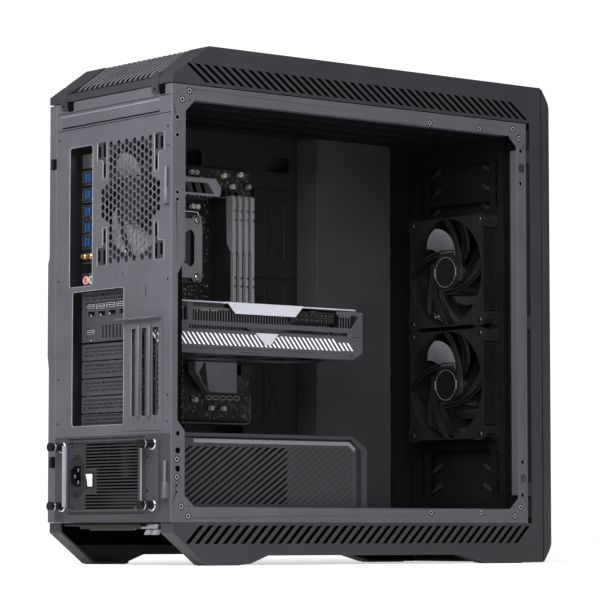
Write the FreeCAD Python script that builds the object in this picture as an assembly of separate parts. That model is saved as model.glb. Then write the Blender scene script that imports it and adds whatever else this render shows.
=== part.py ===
"""Desktop computer tower, shown with its glass door lifted off.

Millimetres.  +Z up, -Y is the front of the tower, +Y the rear with the sockets,
-X the open side that the glass door covers, +X the closed side panel.
Everything is drawn about the middle of the steel frame box, and save() then
moves it so that the origin is on the floor under the middle of the whole tower.
"""
import FreeCAD
import Part
import math
import os

# ---------------------------------------------------------------- driving dimensions
HALF_WIDTH = 121.6          # outer face of the frame and the shells, from the middle
HALF_DEPTH = 270.5          # front and rear plane of the steel frame box
FRAME_BOTTOM = 48.7
FRAME_TOP = 539.7
TOP_HEIGHT = 586.6          # highest face of the tower
FRONT_FACE = -316.5         # foremost face of the front cover
FRONT_SEAM = -278.3         # where the top shell and the skirts meet the front frame
SHEET = 1.2                 # steel sheet
PLATE = 1.5                 # thicker frame rails
SHELL = 2.0                 # moulded outer shells
GAP = 0.3                   # fitting gap between neighbours
GRIP_PROUD = 2.8            # how far the side panel's grip stands out
ORIGIN_X = 1.4              # middle between the open side's face and the grip
ORIGIN_Y = -12.75           # middle between the front face and the thumb screw tips

# opening that the glass door covers
WINDOW_REAR = 251.7
WINDOW_FRONT = -255.0
WINDOW_HIGH = 522.8
WINDOW_CORNER = 13.0
CORNER_TAB = 8.5            # width of the post's tongue beside a rail's corner
CORNER_STEP = 25.7          # how far a rail's corner reaches down the post
CORNER_LIP = 12.5

# rear panel
SLOT_PITCH = 20.32          # expansion slot pitch
SLOT_TOP = 316.0
SLOT_LEFT = -30.0
SLOT_RIGHT = 73.4
SLOT_FLOOR = 159.3
PORT_X = (33.0, 80.0)
PORT_Z = (321.4, 485.5)
PSU_X = (-70.0, 80.0)
PSU_Z = (58.5, 144.5)
PSU_DEPTH = 160.0
PSU_SEAM = 147.2
BAR_SEAM = 507.4
ROOF_SEAM = 527.5
GRILLE_X = -41.2
GRILLE_Z = 415.0
HEX_COLUMN = 7.71           # from one column of hexagons to the next
HEX_ROW = 8.9               # from one hexagon to the next in a column
HEX_SIZE = 4.45             # from a hexagon's middle to its corner

# side bands of slanted slots
BAND_PITCH = 12.6
BAND_SLOT = 7.4
TOP_BAND_Z = (544.6, 565.0)
TOP_BAND_LEAN = 28.4
BASE_BAND_Z = (24.5, 45.1)
BASE_BAND_LEAN = -20.5

# main circuit board, standing against the tray
PORT_FACE = 255.0           # outer face of the board's rear sockets
CHIPSET = [(38.6, 205.0), (79.3, 205.0), (100.5, 228.6), (100.5, 241.4), (38.6, 241.4)]
TRAY_X = 84.3
BOARD_X = 76.2
BOARD_Y = (6.5, 250.5)
BOARD_Z = (172.0, 477.5)
BOARD_SCREWS = [(y, z) for y in (15.0, 137.0, 222.0) for z in (178.0, 330.0, 471.0)]

# graphics card, lying flat over its slot
CARD_FRONT = -57.0
CARD_REAR = 252.0
CARD_NEAR_X = -62.0
CARD_FAR_X = 62.0
CARD_BOTTOM = 242.5
CARD_TOP = 303.0
CARD_FAN_RADIUS = 42.0
CARD_FAN_Y = (198.0, 103.0, 8.0)
CARD_FAN_X = 0.0

# the two large front fans
FAN_SIZE = 140.0
FAN_DEPTH = 25.0
FANS = {                     # middle and rearmost face of each fan
    "front_fan_upper": (-11.4, 361.5, -235.4),
    "front_fan_lower": (-11.4, 220.4, -235.4),
    "rear_fan": (-41.2, 415.0, 269.1),
}
FAN_BORE = 67.0
FAN_SCREW = 62.5            # fixing screws, from the middle each way
FAN_TIP = 65.0
HUB_RADIUS = 22.0

# power supply cover inside the case
COVER_X = -100.0
COVER_TOP = 149.5
COVER_FRONT = -31.6

NORMALS = {"x": FreeCAD.Vector(1, 0, 0), "y": FreeCAD.Vector(0, 1, 0), "z": FreeCAD.Vector(0, 0, 1)}


# ---------------------------------------------------------------- helpers
def vec(x, y, z):
    return FreeCAD.Vector(x, y, z)


def block(x_range, y_range, z_range):
    """Rectangular block between three pairs of limits."""
    size = [high - low for low, high in (x_range, y_range, z_range)]
    return Part.makeBox(*size, vec(x_range[0], y_range[0], z_range[0]))


def rod(start, axis, radius, length):
    """Round bar from a start point along a named axis; a negative length runs backwards."""
    direction = NORMALS[axis] if length > 0 else NORMALS[axis] * -1
    return Part.makeCylinder(radius, abs(length), vec(*start), direction)


def lift(plane, level, a, b):
    """Point with in-plane coordinates a and b on the plane x, y or z = level."""
    if plane == "x":
        return vec(level, a, b)
    if plane == "y":
        return vec(a, level, b)
    return vec(a, b, level)


def corner_edges(before, corner, after, radius):
    """Tangent points and middle of the arc that rounds a corner."""
    to_before = (before - corner).normalize()
    to_after = (after - corner).normalize()
    half = to_before.getAngle(to_after) / 2
    reach = radius / math.tan(half)
    bisector = (to_before + to_after).normalize()
    centre = corner + bisector * (radius / math.sin(half))
    return corner + to_before * reach, centre - bisector * radius, corner + to_after * reach


def outline(points, plane, level):
    """Closed wire through points (a, b) or (a, b, corner radius)."""
    corners = [lift(plane, level, p[0], p[1]) for p in points]
    stops = []
    for index, point in enumerate(points):
        corner = corners[index]
        if len(point) == 2:
            stops.append((corner, None, corner))
        else:
            following = corners[(index + 1) % len(corners)]
            stops.append(corner_edges(corners[index - 1], corner, following, point[2]))
    edges = []
    for index, (first, middle, last) in enumerate(stops):
        if middle is not None:
            edges.append(Part.Arc(first, middle, last).toShape())
        start_of_next = stops[(index + 1) % len(stops)][0]
        if last.distanceToPoint(start_of_next) > 1e-6:
            edges.append(Part.LineSegment(last, start_of_next).toShape())
    return Part.Wire(edges)


def bore(a, b, radius, plane, level):
    return Part.Wire(Part.Circle(lift(plane, level, a, b), NORMALS[plane], radius).toShape())


def plate(plane, low, high, points, holes=(), bores=()):
    """Flat plate between two levels of a plane, with polygon holes and round bores."""
    wires = [outline(points, plane, low)]
    wires += [outline(hole, plane, low) for hole in holes]
    wires += [bore(a, b, radius, plane, low) for a, b, radius in bores]
    if len(wires) == 1:
        face = Part.Face(wires[0])
    else:
        face = Part.makeFace(wires, "Part::FaceMakerBullseye")
    return face.extrude(NORMALS[plane] * (high - low))


def rect(a_range, b_range, radius=0.0):
    """Corner list of a rectangle, with rounded corners if a radius is given."""
    (a0, a1), (b0, b1) = a_range, b_range
    corners = [(a0, b0), (a1, b0), (a1, b1), (a0, b1)]
    if radius:
        return [(a, b, radius) for a, b in corners]
    return corners


def join(shapes):
    """One solid from overlapping or touching shapes."""
    shapes = list(shapes)
    return shapes[0].multiFuse(shapes[1:]).removeSplitter()


def mirrored(shape):
    """Copy mirrored from one side of the tower to the other."""
    return shape.mirror(vec(0, 0, 0), NORMALS["x"])


def save(name, *shapes):
    """Write one node, moved from the frame's middle to the row's origin."""
    group = shapes[0] if len(shapes) == 1 else Part.makeCompound(list(shapes))
    moved = group.copy()
    moved.translate(vec(-ORIGIN_X, -ORIGIN_Y, 0))
    moved.exportStep("parts/" + name + ".step")


def slanted_slots(a_range, b_range, lean, pitch, width):
    """Parallelogram slots that fill a band; lean is how far a slot's top leans along it."""
    low, high = b_range
    slots = []
    start = a_range[0] + max(-lean, 0.0)
    while start + max(lean, 0.0) + width < a_range[1]:
        top = start + lean
        slots.append([(start, low), (start + width, low), (top + width, high), (top, high)])
        start += pitch
    return slots


def hexagon(a, b, size):
    """Hexagon with two level sides."""
    return [(a + size * math.cos(math.radians(60 * k)), b + size * math.sin(math.radians(60 * k)))
            for k in range(6)]


def screw(head_at, axis, sign, head_radius=3.3, shank=4.5):
    """Small machine screw: a flat head with a hexagonal recess, and a shank."""
    head_height = 1.0
    base = list(head_at)
    index = "xyz".index(axis)
    head = rod(base, axis, head_radius, sign * head_height)
    base[index] += sign * head_height
    body = head.fuse(rod(base, axis, 1.4, sign * shank))
    others = [base[i] for i in range(3) if i != index]
    recess_depth = 0.6
    start = head_at[index]
    socket = outline(hexagon(others[0], others[1], 1.7), axis, start)
    socket = Part.Face(socket).extrude(NORMALS[axis] * (sign * recess_depth))
    return body.cut(socket)


# ---------------------------------------------------------------- frame of the open side
LOWER_MIRROR = FRAME_BOTTOM + FRAME_TOP
SIDE_PLANE = (-HALF_WIDTH, -HALF_WIDTH + PLATE)
CORNER_SCREWS = [(246.5, 532.9), (256.4, 522.4), (-248.6, 531.4), (-258.8, 520.8)]
RAIL_SCREWS = [(-113.2, 527.4), (-193.7, 527.2)]
CORNER_PINHOLES = [(245.7, 522.3), (-247.6, 520.6)]
REAR_POST_HOLES = [(263.3, 501.7, 1.8), (263.2, 481.6, 1.8), (263.0, 416.9, 1.5), (263.0, 409.0, 1.5),
                   (261.0, 147.2, 2.8), (261.0, 128.1, 3.6), (261.0, 107.9, 3.6),
                   (262.7, 89.2, 1.5), (262.7, 81.8, 1.5)]
REAR_POST_SCREWS = [(262.4, 118.5), (262.4, 98.7)]
FRONT_POST_HOLES = [(-262.2, 505.2, 2.4), (-261.8, 464.9, 2.4), (-262.5, 123.0, 2.4), (-262.1, 82.7, 2.4)]
MAGNETS = [(-263.3, 484.0), (-263.9, 103.2)]


def countersunk(shape, spots, level, side=-1):
    """Seat a screw's head and shank into a plate at each spot of an X face."""
    for y, z in spots:
        shape = shape.cut(rod((level, y, z), "x", 3.6, -side * 1.1))
        shape = shape.cut(rod((level, y, z), "x", 1.6, -side * 8.0))
    return shape


def rail_points(mirror=False):
    top = FRAME_TOP
    points = [(-HALF_DEPTH, top), (HALF_DEPTH, top), (HALF_DEPTH, top - CORNER_LIP),
              (HALF_DEPTH - CORNER_TAB, top - CORNER_LIP), (HALF_DEPTH - CORNER_TAB, top - CORNER_STEP),
              (WINDOW_REAR - 4.2, top - CORNER_STEP), (WINDOW_REAR - WINDOW_CORNER, WINDOW_HIGH),
              (WINDOW_FRONT + WINDOW_CORNER, WINDOW_HIGH), (WINDOW_FRONT + 4.2, top - CORNER_STEP),
              (-HALF_DEPTH + CORNER_TAB, top - CORNER_STEP),
              (-HALF_DEPTH + CORNER_TAB, top - CORNER_LIP), (-HALF_DEPTH, top - CORNER_LIP)]
    if mirror:
        points = [(y, LOWER_MIRROR - z) for y, z in points]
    return points


def side_rail(mirror):
    """Top or bottom rail of the open side, with its bent inner flange."""
    def height(z):
        return LOWER_MIRROR - z if mirror else z

    bores = [(y, height(z), 1.2) for y, z in CORNER_PINHOLES]
    body = plate("x", *SIDE_PLANE, rail_points(mirror), bores=bores)
    flange_z = sorted([height(WINDOW_HIGH), height(WINDOW_HIGH + PLATE)])
    flange_y = (WINDOW_FRONT + WINDOW_CORNER, WINDOW_REAR - WINDOW_CORNER)
    body = body.fuse(block((-HALF_WIDTH, -HALF_WIDTH + 12), flange_y, flange_z))
    spots = [(y, height(z)) for y, z in CORNER_SCREWS + RAIL_SCREWS]
    return countersunk(body, spots, -HALF_WIDTH)


def side_post_rear():
    low = LOWER_MIRROR
    step = FRAME_TOP - CORNER_STEP - GAP
    tongue = HALF_DEPTH - CORNER_TAB + GAP
    narrow = WINDOW_REAR + 10.3
    points = [(HALF_DEPTH, FRAME_TOP - CORNER_LIP - GAP), (tongue, FRAME_TOP - CORNER_LIP - GAP),
              (tongue, step), (WINDOW_REAR - 3.9, step), (WINDOW_REAR, step - 3.9),
              (WINDOW_REAR, 342), (narrow, 326), (narrow, 162), (WINDOW_REAR, 150),
              (WINDOW_REAR, low - step + 3.9), (WINDOW_REAR - 3.9, low - step),
              (tongue, low - step), (tongue, low - FRAME_TOP + CORNER_LIP + GAP),
              (HALF_DEPTH, low - FRAME_TOP + CORNER_LIP + GAP)]
    body = plate("x", *SIDE_PLANE, points, bores=REAR_POST_HOLES)
    return countersunk(body, REAR_POST_SCREWS, -HALF_WIDTH)


def side_post_front():
    low = LOWER_MIRROR
    step = FRAME_TOP - CORNER_STEP - GAP
    tongue = -HALF_DEPTH + CORNER_TAB - GAP
    points = [(-HALF_DEPTH, FRAME_TOP - CORNER_LIP - GAP), (tongue, FRAME_TOP - CORNER_LIP - GAP),
              (tongue, step), (WINDOW_FRONT + 3.9, step), (WINDOW_FRONT, step - 3.9),
              (WINDOW_FRONT, low - step + 3.9), (WINDOW_FRONT + 3.9, low - step), (tongue, low - step),
              (tongue, low - FRAME_TOP + CORNER_LIP + GAP),
              (-HALF_DEPTH, low - FRAME_TOP + CORNER_LIP + GAP)]
    bores = FRONT_POST_HOLES + [(y, z, 5.6) for y, z in MAGNETS]
    body = plate("x", *SIDE_PLANE, points, bores=bores)
    flange_z = (low - step + 8, step - 8)
    flange_y = (WINDOW_FRONT - PLATE, WINDOW_FRONT)
    return body.fuse(block((-HALF_WIDTH, -HALF_WIDTH + 12), flange_y, flange_z))


def make_open_side():
    save("side_rails", side_rail(False), side_rail(True))
    save("side_post_rear", side_post_rear())
    save("side_post_front", side_post_front())
    save("door_magnets", *[rod((-HALF_WIDTH + 0.3, y, z), "x", 5.4, 4.0) for y, z in MAGNETS])
    knuckles = []
    pin_x = -HALF_WIDTH + 7.4
    pin_y = HALF_DEPTH + 3.4
    for low in (75.4, 404.6):
        knuckle = rod((pin_x, pin_y, low), "z", 3.2, 17.4)
        knuckle = knuckle.fuse(block((pin_x - 3.2, pin_x + 3.2), (HALF_DEPTH, pin_y), (low, low + 17.4)))
        pin = rod((pin_x, pin_y, low + 17.4), "z", 2.0, 24.0)
        knuckles.append(knuckle.fuse(pin).removeSplitter())
    save("door_hinge_pins", *knuckles)


# ---------------------------------------------------------------- rear of the frame
REAR_X = (-HALF_WIDTH + PLATE, 107.4)
REAR_Y = (HALF_DEPTH - SHEET, HALF_DEPTH)


def grille_holes():
    """Hexagons of the fan outlet: a tall field with a bulge on each side."""
    holes = []
    for column in range(-7, 8):
        reach = 70.0 if abs(column) <= 5 else 20.5
        shift = HEX_ROW / 2 if column % 2 else 0.0
        for row in range(-8, 9):
            rise = row * HEX_ROW + shift
            if abs(rise) <= reach:
                holes.append(hexagon(GRILLE_X + column * HEX_COLUMN, GRILLE_Z + rise, HEX_SIZE))
    return holes


def fan_slots():
    """Two fixing slots at each corner of the outlet: a long one and a short one beside it."""
    slots = []
    for side in (-1, 1):
        for up in (-1, 1):
            for near, far, start, end in ((47.5, 53.0, 29.0, 71.0), (58.5, 64.0, 49.0, 71.0)):
                x_range = sorted((GRILLE_X + side * near, GRILLE_X + side * far))
                z_range = sorted((GRILLE_Z + up * start, GRILLE_Z + up * end))
                slots.append(rect(x_range, z_range, 2.6))
    return slots


def make_rear():
    ports = rect(PORT_X, PORT_Z, 4.0)
    slots = rect((SLOT_LEFT, SLOT_RIGHT), (SLOT_FLOOR, SLOT_TOP), 4.0)
    vertical_bay = rect((-99.5, -44.5), (166.0, 268.5), 3.0)
    release = rect((-73.4, -70.6), (301.8, 315.3), 1.2)
    small_holes = [(x, 155.0, 1.6) for x in (-50.0, -72.0, -93.0)]
    small_holes += [(102.5, z, 1.8) for z in (497.0, 330.0, 215.0, 163.0)]
    small_holes += [(-113.0, z, 1.8) for z in (492.0, 470.0, 320.0, 190.0, 160.0)]
    small_holes += [(40.0, 534.0, 1.6), (-12.0, 331.0, 1.2), (-27.0, 331.0, 1.8)]
    panel = plate("y", *REAR_Y, rect(REAR_X, (PSU_SEAM + GAP, FRAME_TOP)),
                  holes=[ports, slots, vertical_bay, release] + fan_slots() + grille_holes(), bores=small_holes)
    ridge = plate("y", HALF_DEPTH, HALF_DEPTH + 1.2, rect((-100.0, 97.0), (511.0, 524.0), 3.0))
    panel = panel.fuse(ridge)
    for seam in (BAR_SEAM, ROOF_SEAM):
        panel = panel.cut(block(REAR_X, (HALF_DEPTH - 0.5, HALF_DEPTH), (seam - 0.5, seam + 0.5)))
    for side in (-1, 1):
        for up in (-1, 1):
            pocket_x = sorted((GRILLE_X + side * 46.0, GRILLE_X + side * 65.6))
            pocket_z = sorted((GRILLE_Z + up * 47.5, GRILLE_Z + up * 72.6))
            pocket = plate("y", HALF_DEPTH - 0.4, HALF_DEPTH + 1, rect(pocket_x, pocket_z, 2.0))
            tail_x = sorted((GRILLE_X + side * 46.0, GRILLE_X + side * 54.6))
            tail_z = sorted((GRILLE_Z + up * 27.5, GRILLE_Z + up * 50.0))
            tail = plate("y", HALF_DEPTH - 0.4, HALF_DEPTH + 1, rect(tail_x, tail_z, 2.0))
            panel = panel.cut(pocket).cut(tail)
    save("rear_panel", panel)

    psu_hole = rect((PSU_X[0] - 0.6, PSU_X[1] + 0.6), (PSU_Z[0] - 0.6, PSU_Z[1] + 0.6))
    stud_holes = [(x, z, 2.4) for x in (-88.5, 89.5) for z in (136.0, 67.6)]
    lower = plate("y", *REAR_Y, rect(REAR_X, (FRAME_BOTTOM, PSU_SEAM)), holes=[psu_hole], bores=stud_holes)
    save("rear_lower_frame", lower)


# ---------------------------------------------------------------- inner sheet parts
INNER_X = (-HALF_WIDTH + PLATE, 118.0)
ROOF_Z = (524.4, 525.5)
FLOOR_Z = (50.0, 51.2)
TRAY_Y = (-260.0, 268.8)
COVER_PLAN = [(TRAY_X - 0.2, -74.0), (59.4, -86.0), (59.4, -205.0), (TRAY_X - 0.2, -217.0)]


def slot_rows(a_range, b_range, length, width, a_pitch, b_pitch):
    """Rows of straight slots with round ends, filling a rectangle."""
    slots = []
    b = b_range[0]
    while b + width <= b_range[1]:
        a = a_range[0]
        while a + length <= a_range[1]:
            slots.append(rect((a, a + length), (b, b + width), width / 2 - 0.05))
            a += a_pitch
        b += b_pitch
    return slots


def make_inner_sheets():
    vents = slot_rows((-108.0, 66.0), (-235.0, 240.0), 38.0, 4.4, 43.0, 8.6)
    save("roof_plate", plate("z", *ROOF_Z, rect(INNER_X, (-269.0, HALF_DEPTH - SHEET)), holes=vents))
    intake = slot_rows((-60.0, 70.0), (120.0, 250.0), 38.0, 5.0, 43.0, 10.0)
    floor = plate("z", *FLOOR_Z, rect(INNER_X, (-269.0, HALF_DEPTH - SHEET)), holes=intake)
    stands = [block((x, x + 14.0), (y, y + 14.0), (FLOOR_Z[1], PSU_Z[0]))
              for x in (PSU_X[0] + 1, PSU_X[1] - 15) for y in (114.0, 252.0)]
    save("floor_plate", join([floor] + stands))

    passages = [rect((74.0, 150.0), (480.6, 500.4), 5.0), rect((-61.0, -22.0), (481.0, 500.0), 5.0)]
    bottom_passage = rect((10.0, 100.0), (153.0, 167.0), 4.0)
    tray = plate("x", TRAY_X, TRAY_X + SHEET, rect(TRAY_Y, (FLOOR_Z[1], ROOF_Z[0])),
                 holes=passages + [bottom_passage])
    posts = [rod((BOARD_X + 1.6, y, z), "x", 3.0, TRAY_X - BOARD_X - 1.6) for y, z in BOARD_SCREWS]

    covers = []
    for low, high in ((373.0, 440.0), (275.0, 340.0), (173.0, 243.0)):
        y_range = (-50.5, -22.5)
        cover = block((TRAY_X - 1.0, TRAY_X), y_range, (low, high))
        centre = vec(TRAY_X - 1.0, sum(y_range) / 2, (low + high) / 2)
        tilt = math.degrees(math.atan2(y_range[1] - y_range[0], high - low))
        for turn in (tilt, -tilt):
            rib = block((TRAY_X - 1.7, TRAY_X - 1.0), (centre.y - 1, centre.y + 1), (low + 5, high - 5))
            rib.rotate(centre, NORMALS["x"], turn)
            cover = cover.fuse(rib)
        covers.append(cover)
    save("motherboard_tray", join([tray] + covers + posts))

    outer = COVER_PLAN
    inner = [(x + SHEET * 1.15, y + shift) for (x, y), shift in zip(outer[1:3], (-0.4, 0.4))]
    points = [outer[0], outer[1], outer[2], outer[3], (outer[3][0], outer[3][1] + 1.4),
              inner[1], inner[0], (outer[0][0], outer[0][1] - 1.4)]
    save("cable_cover", plate("z", FLOOR_Z[1] + GAP, ROOF_Z[0] - GAP, points))

    windows = [rect((-66.0, 47.0), z_range, 4.0) for z_range in ((302.0, 421.0), (161.0, 280.0),
                                                                 (438.0, 449.0), (458.0, 498.0),
                                                                 (80.0, 140.0))]
    windows += [rect(x_range, z_range, 2.0) for x_range in ((-80.0, -76.0), (60.0, 64.0))
                for z_range in ((440.0, 500.0), (82.0, 138.0))]
    wall = plate("y", -262.0, -260.8, rect((-90.8, TRAY_X), (FLOOR_Z[1] + GAP, ROOF_Z[0] - GAP)),
                 holes=windows)
    wall = wall.fuse(block((-90.8, -89.6), (-269.0, -262.0), (FLOOR_Z[1] + GAP, ROOF_Z[0] - GAP)))

    ring_hole = rect((-252.0, 252.0), (66.0, 523.0), 10.0)
    right = plate("x", 118.3, 119.5, rect((-268.0, 268.8), (50.8, 537.6)), holes=[ring_hole])
    for low in (463.7, 112.8):
        right = right.fuse(block((112.5, 118.3), (256.0, 268.8), (low, low + 12.0)))
        right = right.fuse(block((112.5, 117.9), (268.8, HALF_DEPTH + 0.8), (low, low + 12.0)))
    save("right_frame", right.removeSplitter())

    front_hole = rect((-89.6, TRAY_X - SHEET), (75.0, 515.0), 12.0)
    frame = plate("y", -HALF_DEPTH, -HALF_DEPTH + SHEET, rect(INNER_X, (FRAME_BOTTOM, FRAME_TOP)),
                  holes=[front_hole])
    far_return = block((TRAY_X - SHEET, TRAY_X), (-HALF_DEPTH, -260.8), (FLOOR_Z[1] + GAP, ROOF_Z[0] - GAP))
    save("front_bulkhead", join([wall, frame, far_return]))


# ---------------------------------------------------------------- outer shells
TOP_SIDE = [(FRONT_SEAM, 541.0), (271.0, 541.0), (271.0, 549.5), (219.0, TOP_HEIGHT),
            (FRONT_SEAM, TOP_HEIGHT)]
LID_HALF = 98.0
LID_FRONT = -240.0
RIB_PITCH = 10.0
RIB_COUNT = 16
RIB_WIDTH = 4.6
SLOPE = (TOP_HEIGHT - 549.5) / (271.0 - 219.0)


def make_top_shell():
    solid = plate("x", -HALF_WIDTH, HALF_WIDTH, TOP_SIDE)
    inner = [(FRONT_SEAM - 1, 540.0), (269.0, 540.0), (269.0, 548.4), (218.3, TOP_HEIGHT - SHELL),
             (FRONT_SEAM - 1, TOP_HEIGHT - SHELL)]
    solid = solid.cut(plate("x", -HALF_WIDTH + SHELL, HALF_WIDTH - SHELL, inner))
    lid_room = block((-LID_HALF, LID_HALF), (LID_FRONT, 280.0), (549.5, 600.0))
    lid_foot_room = block((-LID_HALF, LID_HALF), (240.0, 268.4), (545.0, 550.0))
    solid = solid.cut(lid_room).cut(lid_foot_room)
    band = slanted_slots((-275.0, 262.0), TOP_BAND_Z, TOP_BAND_LEAN, BAND_PITCH, BAND_SLOT)
    for x_low in (-HALF_WIDTH - 1, HALF_WIDTH - SHELL - 1):
        cutters = [plate("x", x_low, x_low + SHELL + 2, slot) for slot in band]
        solid = solid.cut(Part.makeCompound(cutters))
    save("top_shell", solid)


def roof_line(drop):
    """Side view of a strip that follows the shell's flat top and rear slope, drop mm lower."""
    ridge = 219.0 - drop * 0.32
    return [(LID_FRONT + 0.5, TOP_HEIGHT - drop), (ridge, TOP_HEIGHT - drop),
            (268.0, TOP_HEIGHT - drop - (268.0 - ridge) * SLOPE)]


def lid_strip(x_range, drop, depth):
    upper = roof_line(drop)
    lower = roof_line(drop + depth)
    return plate("x", *x_range, upper + lower[::-1])


def make_top_grille():
    parts = []
    for side in (-1, 1):
        rail = sorted((side * 83.5, side * (LID_HALF - GAP)))
        parts.append(lid_strip(rail, 0.0, 5.0))
        x_range = sorted((side * 84.0, side * 97.0))
        parts.append(block(x_range, (267.2, 272.4), (549.9, 551.2)))
        strap = plate("y", 271.3, 272.4, [(x_range[0], 551.2), (x_range[1], 551.2),
                                          (x_range[1], 530.0, 4.0), (x_range[0], 530.0, 4.0)],
                      bores=[(side * 90.5, 536.0, 1.7)])
        parts.append(strap)
    for index in range(RIB_COUNT):
        x = (index - (RIB_COUNT - 1) / 2) * RIB_PITCH
        parts.append(lid_strip((x - RIB_WIDTH / 2, x + RIB_WIDTH / 2), 0.4, 6.0))
    for y in (-239.0, -160.0, -80.0, 0.0, 80.0, 160.0):
        parts.append(block((-85.0, 85.0), (y, y + 6.0), (TOP_HEIGHT - 5.4, TOP_HEIGHT - 2.4)))
    parts.append(block((-85.0, 85.0), (258.0, 263.0), (550.0, 553.0)))
    save("top_grille", join(parts))


def skirt_side():
    """One side of the base: slotted band, lower rim and two hollow feet."""
    points = [(FRONT_SEAM, 48.4), (HALF_DEPTH - 2.5, 48.4), (HALF_DEPTH - 2.5, 37.0), (221.0, 0.8),
              (170.0, 0.8), (157.7, 2.0), (133.0, 11.0), (-166.0, 11.0), (-204.6, 0.8),
              (FRONT_SEAM, 0.8)]
    band = slanted_slots((-274.5, 262.0), BASE_BAND_Z, BASE_BAND_LEAN, 13.1, 7.0)
    side = plate("x", -HALF_WIDTH, -HALF_WIDTH + SHELL, points, holes=band)
    inner_x = (-HALF_WIDTH, -HALF_WIDTH + 22.8)
    rear_foot = plate("x", *inner_x, [(HALF_DEPTH - 2.5, 48.4), (HALF_DEPTH - 2.5, 37.0), (221.0, 0.8),
                                      (170.0, 0.8), (170.0, 3.3), (219.5, 3.3), (HALF_DEPTH - 5.2, 38.2),
                                      (HALF_DEPTH - 5.2, 48.4)])
    front_foot = plate("x", *inner_x, [(-204.6, 0.8), (FRONT_SEAM, 0.8), (FRONT_SEAM, 3.3),
                                       (-203.6, 3.3), (-166.4, 13.5), (-166.0, 11.0)])
    skirt = join([side, rear_foot, front_foot])
    return skirt


def make_base():
    left = skirt_side()
    save("base_skirts", left, mirrored(left))
    frame_hole = rect((-80.0, 80.0), (60.0, 236.0), 6.0)
    front_hole = rect((-80.0, 80.0), (-236.0, 30.0), 6.0)
    pan = plate("z", 47.0, FRAME_BOTTOM - 0.2, rect((-119.0, 119.0), (-269.0, 265.0)),
                holes=[frame_hole, front_hole])
    for x0 in (-98.4, 95.2):
        pan = pan.fuse(block((x0, x0 + 3.2), (-262.0, 262.0), (43.8, 47.0)))
    save("base_pan", pan.removeSplitter())
    pads = []
    for side in (-1, 1):
        for y_range in ((172.0, 219.0), (-262.0, -208.0)):
            x_range = sorted((side * 101.0, side * 119.4))
            pads.append(block(x_range, y_range, (0.0, 0.8)))
    save("foot_pads", *pads)
    mesh = slot_rows((-84.0, 84.0), (-220.0, 226.0), 38.0, 5.0, 43.0, 9.0)
    tray = plate("z", 44.6, 46.4, rect((-94.8, 94.8), (-236.0, 264.0)), holes=mesh)
    handle = block((-60.0, 60.0), (264.0, 267.4), (41.2, 46.4))
    save("bottom_dust_filter", tray.fuse(handle).removeSplitter())


FRONT_SIDE = [(FRONT_SEAM, 1.0), (-297.0, 1.0), (FRONT_FACE, 30.0), (FRONT_FACE, 556.0),
              (-296.4, TOP_HEIGHT), (FRONT_SEAM, TOP_HEIGHT)]
FRONT_SPLIT = (-295.2, -297.4)
BUTTON_SPOT = (78.0, -286.8)


def front_body(y_range, plan_inset, wall):
    """Slice of the rounded front cover between two depths, hollow behind its wall."""
    plan = [(-HALF_WIDTH + plan_inset, FRONT_SEAM), (HALF_WIDTH - plan_inset, FRONT_SEAM),
            (HALF_WIDTH - plan_inset, FRONT_FACE, 12.0), (-HALF_WIDTH + plan_inset, FRONT_FACE, 12.0)]
    whole = plate("x", -HALF_WIDTH, HALF_WIDTH, FRONT_SIDE)
    whole = whole.common(plate("z", 0.0, TOP_HEIGHT, plan))
    slice_box = block((-HALF_WIDTH, HALF_WIDTH), y_range, (0.0, TOP_HEIGHT))
    whole = whole.common(slice_box)
    hollow_side = [(FRONT_SEAM + 1, 1.0 + wall), (-296.0, 1.0 + wall), (FRONT_FACE + wall, 31.5),
                   (FRONT_FACE + wall, 555.0), (-295.0, TOP_HEIGHT - wall), (FRONT_SEAM + 1, TOP_HEIGHT - wall)]
    inner = HALF_WIDTH - plan_inset - wall
    hollow = plate("x", -inner, inner, hollow_side)
    return whole, hollow


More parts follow.
